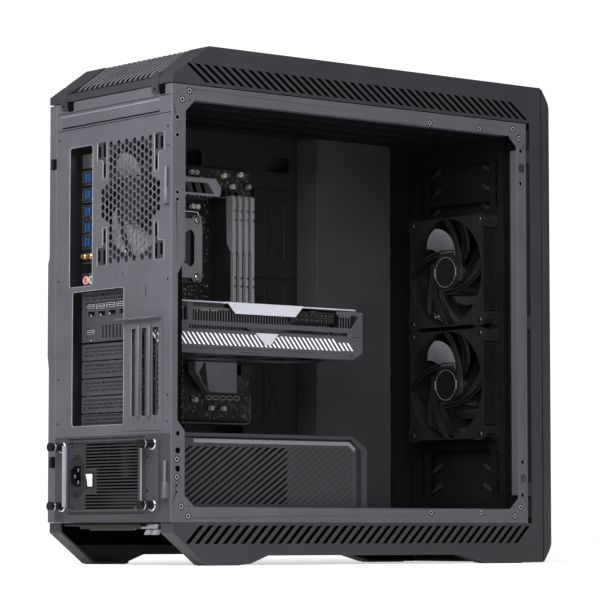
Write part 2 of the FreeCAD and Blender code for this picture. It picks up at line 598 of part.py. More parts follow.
def make_front():
    whole, hollow = front_body((FRONT_SPLIT[0], FRONT_SEAM), 0.0, 3.0)
    frame = whole.cut(hollow)
    frame = frame.cut(rod((BUTTON_SPOT[0], BUTTON_SPOT[1], 500.0), "z", 6.4, 100.0))
    seat_x = (BUTTON_SPOT[0] - 12.0, BUTTON_SPOT[0] + 12.0)
    seat = block(seat_x, (FRONT_SPLIT[0], FRONT_SEAM), (572.0, 573.6))
    hangers = [block((x, x + 2.0), (FRONT_SPLIT[0], FRONT_SEAM), (573.0, TOP_HEIGHT - 2.5))
               for x in (seat_x[0], seat_x[1] - 2.0)]
    frame = join([frame, seat] + hangers)
    frame = frame.cut(rod((BUTTON_SPOT[0], BUTTON_SPOT[1], 500.0), "z", 2.6, 100.0))
    clips = [block((x - 6.0, x + 6.0), (FRONT_SEAM - 4.0, -HALF_DEPTH - 0.2), (z - 8.0, z + 8.0))
             for x in (-HALF_WIDTH + 9.0, HALF_WIDTH - 9.0) for z in (90.0, 294.0, 500.0)]
    lips = [block(sorted((side * (HALF_WIDTH - 8.0), side * (HALF_WIDTH - 6.4))),
                  (FRONT_SEAM - 5.0, -HALF_DEPTH - GAP), (56.0, 534.0)) for side in (-1, 1)]
    save("front_frame", join([frame] + clips + lips))

    whole, hollow = front_body((FRONT_FACE, FRONT_SPLIT[1]), 0.0, 3.0)
    face = whole.cut(hollow)
    slots = []
    rise = 13.4
    for row in range(36):
        low = 46.0 + row * rise
        for side in (-1, 1):
            a, b = side * 104.0, side * 66.0
            slots.append([(a, low), (a, low + 7.0), (b, low + 22.0), (b, low + 15.0)])
    cutters = [plate("y", FRONT_FACE - 1, FRONT_FACE + 4, slot) for slot in slots]
    face = face.cut(Part.makeCompound(cutters))
    groove = [block((side * 48.0 - 0.8, side * 48.0 + 0.8), (FRONT_FACE - 1, FRONT_FACE + 0.8), (40.0, 546.0))
              for side in (-1, 1)]
    face = face.cut(Part.makeCompound(groove))
    save("front_cover", face)

    mesh = slot_rows((-92.0, 92.0), (86.0, 500.0), 42.0, 6.0, 46.0, 10.0)
    screen = plate("y", -276.5, -274.5, rect((-96.0, 96.0), (78.0, 512.0)), holes=mesh)
    save("front_dust_filter", screen)

    button = rod((BUTTON_SPOT[0], BUTTON_SPOT[1], 575.8), "z", 6.1, TOP_HEIGHT - 575.8)
    stem = rod((BUTTON_SPOT[0], BUTTON_SPOT[1], 570.0), "z", 2.3, 6.0)
    save("power_button", button.fuse(stem))


PANEL_X = (HALF_WIDTH - SHEET, HALF_WIDTH)
PANEL_Z = (FRAME_BOTTOM, 539.3)


def make_right_panel():
    panel = block(PANEL_X, (-HALF_DEPTH, HALF_DEPTH), PANEL_Z)
    rear = block((107.9, HALF_WIDTH), REAR_Y, PANEL_Z)
    for low in (463.7, 112.8):
        rear = rear.cut(block((107.0, 118.3), (269.0, 271.0), (low - 0.5, low + 12.5)))
    upper = block((112.0, HALF_WIDTH), (-HALF_DEPTH, HALF_DEPTH), (PANEL_Z[1] - SHEET, PANEL_Z[1]))
    lower = block((112.0, HALF_WIDTH), (-HALF_DEPTH, HALF_DEPTH), (PANEL_Z[0], PANEL_Z[0] + SHEET))
    upper = upper.cut(block((100.0, 118.2), (-280.0, -268.8), (500.0, 560.0)))
    lower = lower.cut(block((100.0, 118.2), (-280.0, -268.8), (40.0, 60.0)))
    grip = plate("y", 244.0, HALF_DEPTH, [(HALF_WIDTH, 228.0), (HALF_WIDTH + GRIP_PROUD, 244.0),
                                          (HALF_WIDTH + GRIP_PROUD, 353.0), (HALF_WIDTH, 360.0)])
    save("right_side_panel", join([panel, rear, upper, lower, grip]))


# ---------------------------------------------------------------- power supply
BRACKET_X = (-100.5, 96.0)
BRACKET_Z = (61.0, 143.0)
BRACKET_Y = (HALF_DEPTH + 0.2, HALF_DEPTH + 1.4)
INLET_X = 63.3
INLET_Z = (84.0, 120.0)
SWITCH_X = (28.0, 45.0)
SWITCH_Z = (87.0, 107.0)
SCREW_X = (-64.4, 73.6)
SCREW_Z = (64.2, 138.3)
PSU_REAR = HALF_DEPTH - 0.2
THUMB_SPOTS = [(-88.5, 136.0), (89.5, 136.0), (-88.5, 67.6), (89.5, 67.6)]
VENT_ROWS = 21
VENT_PITCH = 3.64
VENT_HEIGHT = 2.1
PSU_FAN = (5.0, 190.0)
PSU_FAN_RADIUS = 58.0


def make_power_supply():
    y_range = (PSU_REAR - PSU_DEPTH, PSU_REAR)
    shell = block(PSU_X, y_range, PSU_Z)
    inner = [(low + SHEET, high - SHEET) for low, high in (PSU_X, y_range, PSU_Z)]
    shell = shell.cut(block(*inner))
    vents = []
    for row in range(VENT_ROWS):
        z = PSU_Z[0] + 5.4 + row * VENT_PITCH
        if z + VENT_HEIGHT < SWITCH_Z[0] - 4 or z > SWITCH_Z[1] + 4:
            right = SWITCH_X[1]
        else:
            right = SWITCH_X[0] - 5.0
        vents.append(rect((-58.0, right), (z, z + VENT_HEIGHT)))
    cutters = [plate("y", PSU_REAR - 3, PSU_REAR + 1, vent) for vent in vents]
    cutters.append(block((INLET_X - 13.9, INLET_X + 13.9), (PSU_REAR - 3, PSU_REAR + 1),
                         (INLET_Z[0] + 4.5, INLET_Z[1] - 4.5)))
    cutters.append(block((SWITCH_X[0] + 0.8, SWITCH_X[1] - 0.8), (PSU_REAR - 3, PSU_REAR + 1),
                         (SWITCH_Z[0] + 0.8, SWITCH_Z[1] - 0.8)))
    grille = slot_rows((PSU_FAN[0] - 56.0, PSU_FAN[0] + 60.0), (PSU_FAN[1] - 54.0, PSU_FAN[1] + 54.0),
                       34.0, 5.0, 39.0, 9.0)
    cutters += [plate("z", PSU_Z[0] - 1, PSU_Z[0] + 3, slot) for slot in grille]
    shell = shell.cut(Part.makeCompound(cutters))
    save("psu_case", shell)

    opening = [(PSU_X[0] + 8.0, 72.0), (PSU_X[0] + 18.0, 63.4, 3.0)]
    opening += rect((PSU_X[0] + 8.0, PSU_X[1] - 1.0), (63.4, 141.0), 3.0)[1:]
    stud_bores = [(x, z, 2.4) for x, z in THUMB_SPOTS]
    bracket = plate("y", *BRACKET_Y, rect(BRACKET_X, BRACKET_Z, 2.0),
                    holes=[opening], bores=stud_bores)
    for x in SCREW_X:
        for z in SCREW_Z:
            bracket = bracket.cut(rod((x, HALF_DEPTH - 1, z), "y", 3.7, 5.0))
    for x0 in (BRACKET_X[0] + 26.0, BRACKET_X[1] - 14.0):
        bracket = bracket.fuse(block((x0, x0 + 1.2), (BRACKET_Y[0], BRACKET_Y[1] + 5.0), (66.0, 138.0)))
    save("psu_bracket", bracket.removeSplitter())

    screws = []
    for x, z in THUMB_SPOTS:
        shank = rod((x, REAR_Y[0] - 2, z), "y", 2.1, 4.8)
        collar = rod((x, BRACKET_Y[1], z), "y", 5.6, 2.0)
        neck = rod((x, BRACKET_Y[1] + 2, z), "y", 3.6, 5.0)
        head = rod((x, BRACKET_Y[1] + 7, z), "y", 5.0, 12.1)
        grooves = []
        for k in range(12):
            angle = math.radians(30 * k)
            spot = (x + 5.3 * math.cos(angle), BRACKET_Y[1] + 8.5, z + 5.3 * math.sin(angle))
            grooves.append(rod(spot, "y", 0.7, 9.0))
        head = head.cut(Part.makeCompound(grooves))
        screws.append(join([shank, collar, neck, head]))
    save("thumb_screws", *screws)

    inlet = block((INLET_X - 13.6, INLET_X + 13.6), (PSU_REAR - 16, PSU_REAR),
                  (INLET_Z[0] + 4.8, INLET_Z[1] - 4.8))
    middle = sum(INLET_Z) / 2
    ears = [(-14.6, 14.0), (-5.0, 24.5), (5.0, 24.5), (14.6, 14.0), (14.6, -14.0), (5.0, -24.5), (-5.0, -24.5),
            (-14.6, -14.0)]
    flange = plate("y", PSU_REAR, PSU_REAR + 1.0, [(INLET_X + a, middle + b) for a, b in ears],
                   bores=[(INLET_X, middle + 20.6, 1.7), (INLET_X, middle - 20.6, 1.7)])
    inlet = inlet.fuse(flange)
    cavity = [(INLET_X - 10.5, middle - 12.0), (INLET_X + 3.5, middle - 12.0), (INLET_X + 10.5, middle - 7.0),
              (INLET_X + 10.5, middle + 7.0), (INLET_X + 3.5, middle + 12.0), (INLET_X - 10.5, middle + 12.0)]
    inlet = inlet.cut(plate("y", PSU_REAR - 13.5, PSU_REAR + 2, cavity))
    blades = [block((INLET_X - 3.0, INLET_X + 1.0), (PSU_REAR - 14, PSU_REAR - 3), (z - 1, z + 1))
              for z in (middle - 7.0, middle + 7.0)]
    blades.append(block((INLET_X + 3.6, INLET_X + 7.6), (PSU_REAR - 14, PSU_REAR - 2), (middle - 1, middle + 1)))
    save("power_inlet", join([inlet] + blades))

    pivot = ((SWITCH_X[0] + SWITCH_X[1]) / 2, PSU_REAR - 2.6, (SWITCH_Z[0] + SWITCH_Z[1]) / 2)
    bezel = plate("y", PSU_REAR, PSU_REAR + 0.8, rect(SWITCH_X, SWITCH_Z, 1.0),
                  holes=[rect((SWITCH_X[0] + 2.0, SWITCH_X[1] - 2.0), (SWITCH_Z[0] + 1.6, SWITCH_Z[1] - 1.6))])
    sleeve = block((SWITCH_X[0] + 1.0, SWITCH_X[1] - 1.0), (PSU_REAR - 12, PSU_REAR),
                   (SWITCH_Z[0] + 1.0, SWITCH_Z[1] - 1.0))
    sleeve = sleeve.cut(block((SWITCH_X[0] + 2.0, SWITCH_X[1] - 2.0), (PSU_REAR - 11, PSU_REAR + 1),
                              (SWITCH_Z[0] + 1.6, SWITCH_Z[1] - 1.6)))
    pin = rod((SWITCH_X[0] + 1.5, pivot[1], pivot[2]), "x", 1.0, SWITCH_X[1] - SWITCH_X[0] - 3.0)
    save("switch_housing", join([bezel, sleeve, pin]))
    half = 7.4
    rocker_side = [(pivot[1] - 2.6, pivot[2] - half + 0.6), (pivot[1] + 1.6, pivot[2] - half),
                   (pivot[1] + 2.6, pivot[2]), (pivot[1] + 4.6, pivot[2] + half),
                   (pivot[1] - 2.6, pivot[2] + half)]
    rocker = plate("x", SWITCH_X[0] + 2.4, SWITCH_X[1] - 2.4, rocker_side)
    rocker = rocker.cut(rod((SWITCH_X[0], pivot[1], pivot[2]), "x", 1.06, 20.0))
    save("power_switch", rocker)

    board = block((PSU_X[0] + 4, PSU_X[1] - 4), (y_range[0] + 4, PSU_REAR - 22), (138.0, 139.6))
    pieces = [board,
              block((-20.0, 16.0), (150.0, 184.0), (102.0, 138.0)),
              block((-56.0, -50.0), (124.0, 228.0), (98.0, 138.0)),
              block((58.0, 64.0), (124.0, 228.0), (98.0, 138.0)),
              rod((40.0, 214.0, 138.0), "z", 14.0, -38.0),
              rod((-34.0, 136.0, 138.0), "z", 7.0, -26.0),
              rod((-34.0, 214.0, 138.0), "z", 7.0, -26.0)]
    save("psu_board", join(pieces))

    hub = rod((PSU_FAN[0], PSU_FAN[1], PSU_Z[0] + 4.0), "z", 18.0, 18.0)
    save("psu_fan", fan_blades(hub, (PSU_FAN[0], PSU_FAN[1], PSU_Z[0] + 13.0), "z", 17.0,
                               PSU_FAN_RADIUS, 7, 30.0, 12.0, 1.6))
    frame = plate("z", PSU_Z[0] + SHEET, PSU_Z[0] + 26.0,
                  rect((PSU_FAN[0] - 61.5, PSU_FAN[0] + 61.5), (PSU_FAN[1] - 61.5, PSU_FAN[1] + 61.5), 4.0),
                  bores=[(PSU_FAN[0], PSU_FAN[1], PSU_FAN_RADIUS + 1.5)])
    mount = rod((PSU_FAN[0], PSU_FAN[1], PSU_Z[0] + 23.2), "z", 17.0, 2.8)
    arms = [block((PSU_FAN[0] - 61, PSU_FAN[0] + 61), (PSU_FAN[1] - 2, PSU_FAN[1] + 2),
                  (PSU_Z[0] + 23.4, PSU_Z[0] + 26.0)),
            block((PSU_FAN[0] - 2, PSU_FAN[0] + 2), (PSU_FAN[1] - 61, PSU_FAN[1] + 61),
                  (PSU_Z[0] + 23.4, PSU_Z[0] + 26.0))]
    return join([frame, mount] + arms)


def fan_blades(hub, centre, axis, root, tip, count, chord, pitch, thickness):
    """Rotor: a hub with flat blades set at a pitch, joined in one solid."""
    angle = math.degrees(math.asin(min(1.0, pitch / chord)))
    blades = [hub]
    for k in range(count):
        if axis == "z":
            blade = block((root - 2, tip - 1.2), (-chord / 2, chord / 2), (-thickness / 2, thickness / 2))
            blade.rotate(vec(0, 0, 0), NORMALS["x"], angle)
        else:
            blade = block((root - 2, tip - 1.2), (-thickness / 2, thickness / 2), (-chord / 2, chord / 2))
            blade.rotate(vec(0, 0, 0), NORMALS["x"], -angle)
        blade.rotate(vec(0, 0, 0), NORMALS[axis], 360.0 / count * k)
        blade.translate(vec(*centre))
        blades.append(blade)
    rotor = join(blades)
    limits = {"z": (centre[0], centre[1], centre[2] - 60), "y": (centre[0], centre[1] - 60, centre[2])}
    return rotor.common(rod(limits[axis], axis, tip, 120.0))


# ---------------------------------------------------------------- power supply cover
SLAT_PITCH = 11.1
SLAT_WIDTH = 5.4            # measured along the tower
SLAT_RUN = 1.48             # how far a slat runs forwards for each millimetre it climbs
OPEN_FROM = 87.4            # the slats are open behind this, closed in front of it
LATTICE = [(-10.0, 69.4), (-10.0, 127.9), (-1.0, 134.4), (236.0, 134.4), (236.0, 69.4)]
PANEL_EDGE = [(-15.8, 62.0), (-15.8, 134.6), (-5.0, 143.6), (262.0, 143.6), (262.0, 62.0)]
RIM_EDGE = [(-23.7, 58.0), (-23.7, 132.4), (-7.4, 145.6), (264.0, 145.6), (264.0, 58.0)]
LIGHT_EDGE = [(223.0, 138.3), (223.0, 142.7), (-5.2, 142.7), (-14.4, 135.4), (-12.0, 131.6), (-3.4, 138.3)]


def slats(x_range, y_range):
    """Slanted bars that climb towards the front, clipped to the insert's field and a stretch of it."""
    low, high = LATTICE[0][1], LATTICE[1][1] + 6.5
    run = SLAT_RUN * (high - low)
    bars = []
    y = LATTICE[0][0] - 4.0
    while y < LATTICE[3][0] + run:
        bars.append(plate("x", *x_range, [(y, low), (y + SLAT_WIDTH, low), (y + SLAT_WIDTH - run, high),
                                          (y - run, high)]))
        y += SLAT_PITCH
    field = plate("x", *x_range, LATTICE).common(block(x_range, y_range, (0.0, 200.0)))
    return Part.makeCompound(bars).common(field)


def make_supply_cover():
    """Sheet cover over the power supply, with a framed slatted insert and a light bar."""
    edge = [(COVER_FRONT, FLOOR_Z[1]), (COVER_FRONT, 135.0), (-10.0, COVER_TOP), (266.0, COVER_TOP),
            (266.0, FLOOR_Z[1])]
    wall = plate("x", COVER_X, COVER_X + PLATE, edge, holes=[RIM_EDGE])
    tub = plate("x", COVER_X + PLATE, COVER_X + 7.0, [(y - 1.2, z) for y, z in RIM_EDGE[:2]]
                + [(RIM_EDGE[2][0] - 0.6, RIM_EDGE[2][1] + 1.2)] + [(265.2, 146.8), (265.2, 56.8), (-24.9, 56.8)],
                holes=[RIM_EDGE])
    back = plate("x", COVER_X + 5.8, COVER_X + 7.0, [(-24.4, 57.4), (-24.4, 132.8), (-7.6, 146.2), (264.6, 146.2),
                                                     (264.6, 57.4)],
                 holes=[[(-12.0, 66.0), (-12.0, 131.0), (-2.0, 138.0), (258.0, 138.0), (258.0, 66.0)]])
    roof = block((COVER_X, TRAY_X - 0.2), (-10.0, 266.0), (COVER_TOP - PLATE, COVER_TOP))
    slope = plate("x", COVER_X, TRAY_X - 0.2, [(COVER_FRONT, 135.0), (-10.0, COVER_TOP),
                                               (-9.4, COVER_TOP - PLATE), (COVER_FRONT + PLATE, 134.0)])
    front = block((COVER_X, COVER_X + 26.0), (COVER_FRONT, COVER_FRONT + PLATE), (FLOOR_Z[1], 135.2))
    foot = block((COVER_X, COVER_X + 12.0), (COVER_FRONT, 266.0), (FLOOR_Z[1], FLOOR_Z[1] + PLATE))
    save("psu_cover", join([wall, tub, back, roof, slope, front, foot]))

    sheet = plate("x", COVER_X + 0.6, COVER_X + 2.6, PANEL_EDGE, holes=[LIGHT_EDGE])
    ring = plate("x", COVER_X + 2.6, COVER_X + 5.8, PANEL_EDGE,
                 holes=[[(-13.4, 64.4), (-13.4, 133.4), (-4.0, 141.2), (259.6, 141.2), (259.6, 64.4)]])
    light_seat = plate("x", COVER_X + 1.9, COVER_X + 2.6, LIGHT_EDGE)
    insert = join([sheet, ring, light_seat])
    insert = insert.cut(slats((COVER_X - 1, COVER_X + 4.0), (OPEN_FROM, LATTICE[3][0])))
    insert = insert.cut(slats((COVER_X - 1, COVER_X + 1.6), (LATTICE[0][0], OPEN_FROM - 0.4)))
    save("psu_cover_grille", insert)
    save("psu_cover_light", plate("x", COVER_X + 0.2, COVER_X + 1.9, LIGHT_EDGE))


# ---------------------------------------------------------------- main board
def make_board():
    board = plate("x", BOARD_X, BOARD_X + 1.6, rect(BOARD_Y, BOARD_Z),
                  bores=[(y, z, 2.1) for y, z in BOARD_SCREWS])
    save("main_board", board)

    ports = [block((46.0, BOARD_X), (226.0, PORT_FACE), (462.2, 478.6))]
    for low in (444.8, 424.6, 404.4, 386.4, 369.6):
        shell = block((47.4, BOARD_X), (232.0, PORT_FACE), (low, low + 14.4))
        for x_range in ((48.6, 61.2), (62.4, 75.0)):
            shell = shell.cut(block(x_range, (241.0, PORT_FACE + 1), (low + 1.2, low + 13.2)))
            middle = sum(x_range) / 2
            shell = shell.fuse(block((middle + 0.6, middle + 3.4), (240.9, PORT_FACE - 0.8), (low + 2.0, low + 12.4)))
        ports.append(shell)
    antenna_seat = block((47.4, BOARD_X), (232.0, PORT_FACE - 1.0), (351.4, 366.2))
    threads = [rod((x, PORT_FACE - 1.2, 358.6), "y", 3.6, 8.4).cut(rod((x, PORT_FACE, 358.6), "y", 1.4, 9.0))
               for x in (57.0, 69.0)]
    ports.append(join([antenna_seat] + threads))
    ports.append(block((52.0, BOARD_X), (236.0, PORT_FACE - 0.6), (338.4, 348.4)))
    jack_seat = block((47.4, BOARD_X), (236.0, PORT_FACE - 1.6), (324.6, 336.6))
    rings = [rod((x, PORT_FACE - 1.8, 330.4), "y", 5.4, 2.6).cut(rod((x, PORT_FACE - 1.8, 330.4), "y", 1.9, 4.0))
             for x in (57.6, 69.2)]
    ports.append(join([jack_seat] + rings))
    save("rear_ports", *ports)

    top_sink = [block((70.0, BOARD_X - 1.0), (79.0, 232.0), (436.0, 462.0)),
                plate("x", 45.0, 47.0, [(232.0, 439.5), (232.0, 460.0), (82.8, 460.4), (74.6, 450.2), (76.1, 439.4)],
                      holes=[[(218.0, 442.2), (218.0, 454.2), (94.6, 454.6), (84.6, 442.2)]])]
    for k in range(24):
        y = 84.0 + k * 6.2
        top_sink.append(block((46.8, 70.2), (y, y + 2.6), (440.4, 458.6)))
    side_sink = [block((70.0, BOARD_X - 1.0), (186.0, 220.0), (340.0, 430.0))]
    for k in range(6):
        y = 188.0 + k * 5.6
        side_sink.append(block((42.0, 70.2), (y, y + 2.6), (341.0, 429.0)))

    chip = plate("x", 60.0, BOARD_X - 1.0, CHIPSET)
    save("board_heatsinks", join(top_sink), join(side_sink), chip)

    socket = plate("x", 71.2, BOARD_X, rect((88.0, 168.0), (336.0, 420.0), 4.0),
                   holes=[rect((100.0, 156.0), (350.0, 406.0))])
    base = block((72.8, BOARD_X), (100.0, 156.0), (350.0, 406.0))
    save("cpu_socket", socket.fuse(base).removeSplitter())
    lid = block((69.6, 72.8), (102.0, 154.0), (352.0, 404.0)).fuse(
        block((68.2, 69.6), (107.0, 149.0), (357.0, 399.0)))
    save("processor", lid.removeSplitter())

    plate_ring = plate("x", 66.2, 67.6, rect((93.5, 162.5), (342.0, 418.0), 3.0),
                       holes=[rect((108.0, 148.0), (359.0, 397.0), 3.0)])
    save("socket_load_plate", plate_ring)
    lever = [rod((68.6, 90.3, 338.0), "z", 1.1, 84.0), rod((68.6, 90.3, 422.0), "y", 1.1, 24.0)]
    save("socket_lever", join(lever + [rod((68.6, 90.3, 337.5), "z", 1.1, 1.0)]))


STICK_Y = (63.0, 53.7, 44.4, 35.1)
STICK_Z = (309.5, 442.8)
SPREADER = [(69.3, 311.0), (69.3, 441.0), (35.0, 441.0), (33.0, 439.0), (33.0, 424.6), (35.2, 422.8),
            (33.0, 421.0), (33.0, 413.6), (35.2, 411.8), (33.0, 410.0), (33.0, 386.0), (29.6, 383.0),
            (29.6, 374.6), (33.0, 371.6), (33.0, 343.4), (35.2, 341.6), (33.0, 339.8), (33.0, 333.2),
            (35.2, 331.4), (33.0, 329.6), (33.0, 313.0), (35.0, 311.0)]


def make_memory():
    slots = []
    sticks = []
    for y in STICK_Y:
        slot = block((69.6, BOARD_X), (y - 3.2, y + 3.2), (303.0, 449.5))
        slot = slot.cut(block((60.0, 74.2), (y - 0.8, y + 0.8), (STICK_Z[0] - 0.5, STICK_Z[1] + 0.5)))
        for z_range in ((303.0, 309.0), (443.4, 449.5)):
            slot = slot.fuse(block((62.0, 69.7), (y - 2.4, y + 2.4), z_range))
        slots.append(slot.removeSplitter())
        spreader = plate("y", y - 2.2, y + 2.2, SPREADER)
        bridge = block((29.6, 44.0), (y - 4.2, y + 4.2), (374.6, 383.0))
        spreader = spreader.fuse(bridge)
        card = block((69.2, 74.0), (y - 0.6, y + 0.6), STICK_Z)
        sticks.append(join([spreader, card]))
    save("memory_slots", *slots)
    save("memory_modules", *sticks)


def make_board_slots():
    slots = []
    for z in (297.8, 254.2, 233.9, 193.2):
        slot = block((65.2, BOARD_X), (131.0, 221.0), (z - 3.8, z + 3.8))
        slots.append(slot.cut(block((60.0, 73.0), (133.0, 219.0), (z - 0.95, z + 0.95))))
    slot = block((65.2, BOARD_X), (196.0, 221.0), (209.7, 217.3))
    slots.append(slot.cut(block((60.0, 73.0), (198.0, 219.0), (212.6, 214.4))))
    headers = [block((66.0, BOARD_X), (8.0, 22.0), (380.0, 432.0)),
               block((68.0, BOARD_X), (8.5, 26.0), (250.0, 262.0)),
               block((68.0, BOARD_X), (8.5, 26.0), (228.0, 240.0)),
               block((64.0, BOARD_X), (176.0, 200.0), (466.5, 475.5))]
    save("board_sockets", *slots, *headers)


# ---------------------------------------------------------------- graphics card
COVER_FACE = 259.0          # slot covers stand this far back, behind the rear panel
CARD_BRACKET_X = 68.6
CARD_RAIL = [(248.0, 279.6), (248.0, 269.6), (204.7, 269.6), (202.0, 274.6), (119.8, 274.6), (110.6, 269.9),
             (70.7, 269.9), (62.3, 274.6), (-34.0, 274.2), (-39.0, 270.0), (-57.0, 270.0), (-57.0, 299.4),
             (-17.6, 299.4), (-17.6, 295.4), (-48.4, 295.4), (-50.6, 292.6), (-40.8, 279.8)]
CARD_BAND = [(248.0, 268.9), (248.0, 249.0), (-40.0, 249.6), (-47.6, 246.6), (-56.4, 251.6), (-56.4, 269.2)]
CARD_LIP = [(248.0, 248.2), (248.0, 242.6), (123.4, 242.6), (123.4, 246.0), (97.7, 246.0), (97.7, 242.6),
            (-24.0, 242.6), (-36.0, 249.0)]
SLASH_PITCH = 6.5
CARD_SLASHES = [-42.7 + SLASH_PITCH * k for k in range(45)]


def card_slash_ends(y):
    """Lower and upper ends of a slanted groove in the card's side, by its place along the card."""
    if y < -24.0:
        return 253.0, 262.4
    if y > 184.0:
        return 256.4, 266.2
    if 64.0 < y < 104.0:
        return 252.4, 256.0
    return 252.4, 266.2


def make_card():
    pcb = block((-52.0, 64.9), (CARD_FRONT + 12.0, CARD_REAR), (297.0, 298.6))
    pcb = pcb.fuse(block((64.5, 72.6), (134.0, 218.0), (297.0, 298.6)))
    connector = block((-58.0, -44.0), (-16.0, 45.0), (284.4, 297.2))
    pins = [block((-60.0, -50.0), (y, y + 4.6), (z, z + 4.2))
            for y in [-14.4 + 7.4 * k for k in range(8)] for z in (285.6, 291.6)]
    save("card_board", pcb.removeSplitter().fuse(connector.cut(Part.makeCompound(pins))).removeSplitter())

    wing = plate("x", CARD_NEAR_X, CARD_NEAR_X + 1.2, [(147.0, CARD_TOP), (134.6, 289.8), (45.4, 289.8),
                                                       (33.2, CARD_TOP)])
    back = plate("z", CARD_TOP - 1.6, CARD_TOP, [(CARD_NEAR_X + 4, CARD_REAR - 2), (CARD_NEAR_X + 4, 150.0),
                                                 (CARD_NEAR_X, 147.0), (CARD_NEAR_X, 33.2), (CARD_NEAR_X + 4, 30.0),
                                                 (CARD_NEAR_X + 4, CARD_FRONT + 8), (CARD_NEAR_X + 12, CARD_FRONT),
                                                 (CARD_FAR_X - 10, CARD_FRONT), (CARD_FAR_X, CARD_FRONT + 10),
                                                 (CARD_FAR_X, CARD_REAR - 2)])
    save("card_backplate", join([wing, back]))

    fins = [block((-57.0, 58.0), (CARD_FRONT + 14, CARD_REAR - 6), (293.2, 296.0))]
    for k in range(73):
        y = CARD_FRONT + 15.0 + k * 4.0
        fins.append(block((-57.0 if y > 47.0 or y < -22.0 else -42.0, 57.0), (y, y + 1.2), (264.5, 293.4)))
    plugs_room = block((-60.0, -42.4), (-24.0, 47.6), (282.0, 299.0))
    save("card_heatsink", join(fins).cut(plugs_room))

    inner_near = CARD_NEAR_X + 2.0
    upper = plate("x", CARD_NEAR_X, inner_near, CARD_RAIL)
    band = plate("x", CARD_NEAR_X, inner_near, CARD_BAND)
    for y in CARD_SLASHES:
        low, high = card_slash_ends(y)
        band = band.cut(plate("x", CARD_NEAR_X - 1, CARD_NEAR_X + 0.8,
                              [(y, low), (y + 2.6, low), (y + 2.6 + 0.8 * (high - low), high), (y + 0.8 * (high - low), high)]))
    lip = plate("x", CARD_NEAR_X + 0.6, inner_near + 0.6, CARD_LIP)
    back_wall = plate("x", inner_near, inner_near + 1.0, [(CARD_REAR - 4, 243.0), (CARD_REAR - 4, 270.6),
                                                          (-50.0, 270.6), (-50.0, 252.0), (-38.0, 243.0)])
    posts = [block((CARD_NEAR_X, inner_near + 1.0), (y, y + 3.0), (262.0, 279.0)) for y in (-38.0, 108.0, 204.0)]
    far = plate("x", CARD_FAR_X - 2.0, CARD_FAR_X, [(CARD_REAR - 4, 290.0), (CARD_REAR - 4, CARD_BOTTOM),
                                                    (CARD_FRONT + 16, CARD_BOTTOM), (CARD_FRONT, 252.0),
                                                    (CARD_FRONT, 290.0)])
    holes = [(CARD_FAN_X, y, CARD_FAN_RADIUS + 1.6) for y in CARD_FAN_Y]
    base = plate("z", CARD_BOTTOM, CARD_BOTTOM + 3.0, rect((CARD_NEAR_X + 2.6, CARD_FAR_X),
                                                           (CARD_FRONT + 16, CARD_REAR - 10)), bores=holes)
    nose = plate("x", CARD_NEAR_X, CARD_FAR_X, [(CARD_FRONT, 251.4), (CARD_FRONT + 16, CARD_BOTTOM),
                                                (CARD_FRONT + 17.4, 245.0), (CARD_FRONT + 2.4, 253.4),
                                                (CARD_FRONT + 2.4, 299.4), (CARD_FRONT, 299.4)])
    struts = []
    for y in CARD_FAN_Y:
        struts.append(block((inner_near, CARD_FAR_X), (y - 3.0, y + 3.0), (259.0, 261.4)))
        struts.append(rod((CARD_FAN_X, y, 259.0), "z", 15.0, 2.4))
    shroud = join([upper, band, lip, back_wall, far, base, nose] + posts + struts)
    for y in CARD_FAN_Y:
        shroud = shroud.cut(rod((CARD_FAN_X, y, 250.0), "z", 1.55, 20.0))
    save("card_shroud", shroud)

    for name, y in zip(("card_fan_rear", "card_fan_middle", "card_fan_front"), CARD_FAN_Y):
        hub = rod((CARD_FAN_X, y, CARD_BOTTOM + 0.8), "z", 14.0, 14.6)
        hub = hub.fuse(rod((CARD_FAN_X, y, CARD_BOTTOM + 15.0), "z", 1.5, 3.6))
        save(name, fan_blades(hub, (CARD_FAN_X, y, CARD_BOTTOM + 7.4), "z", 13.0, CARD_FAN_RADIUS,
                              11, 17.0, 9.0, 1.3))

    socket_x = (-22.0, -1.0, 20.0, 41.0)
    vents = [rect((x, x + 3.4), (261.0, 276.0), 1.0) for x in range(-24, 28, 7)]
    bracket = plate("y", COVER_FACE, COVER_FACE + 1.0, rect((SLOT_LEFT + 1, CARD_BRACKET_X), (257.2, 296.4)),
                    holes=vents + [rect((55.0, 57.6), (262.0, 276.0), 1.2)])
    tab = block((SLOT_LEFT - 6, SLOT_LEFT + 1.2), (COVER_FACE, HALF_DEPTH - SHEET - 0.2), (258.0, 296.0))
    sockets = [block((x, x + 16.6), (COVER_FACE - 7.4, COVER_FACE + 1.4), (286.0, 293.6)) for x in socket_x]
    openings = [block((x + 1.0, x + 15.6), (COVER_FACE - 6, COVER_FACE + 2), (287.0, 292.6)) for x in socket_x]
    bracket = join([bracket, tab] + sockets).cut(Part.makeCompound(openings))
    save("card_bracket", bracket)


# ---------------------------------------------------------------- expansion slot covers
def vented_cover(x_range, z_range):
    """Blanking plate with three staggered rows of small round-cornered holes."""
    holes = []
    z_middle = sum(z_range) / 2
    for row, rise in enumerate((-5.0, -0.8, 3.4)):
        x = x_range[0] + 10.0 + (2.35 if row == 1 else 0.0)
        while x + 3.4 < x_range[1] - 3.0:
            holes.append(rect((x, x + 3.2), (z_middle + rise, z_middle + rise + 2.8), 1.1))
            x += 4.7
    return plate("y", COVER_FACE, COVER_FACE + 1.0, rect(x_range, z_range), holes=holes)


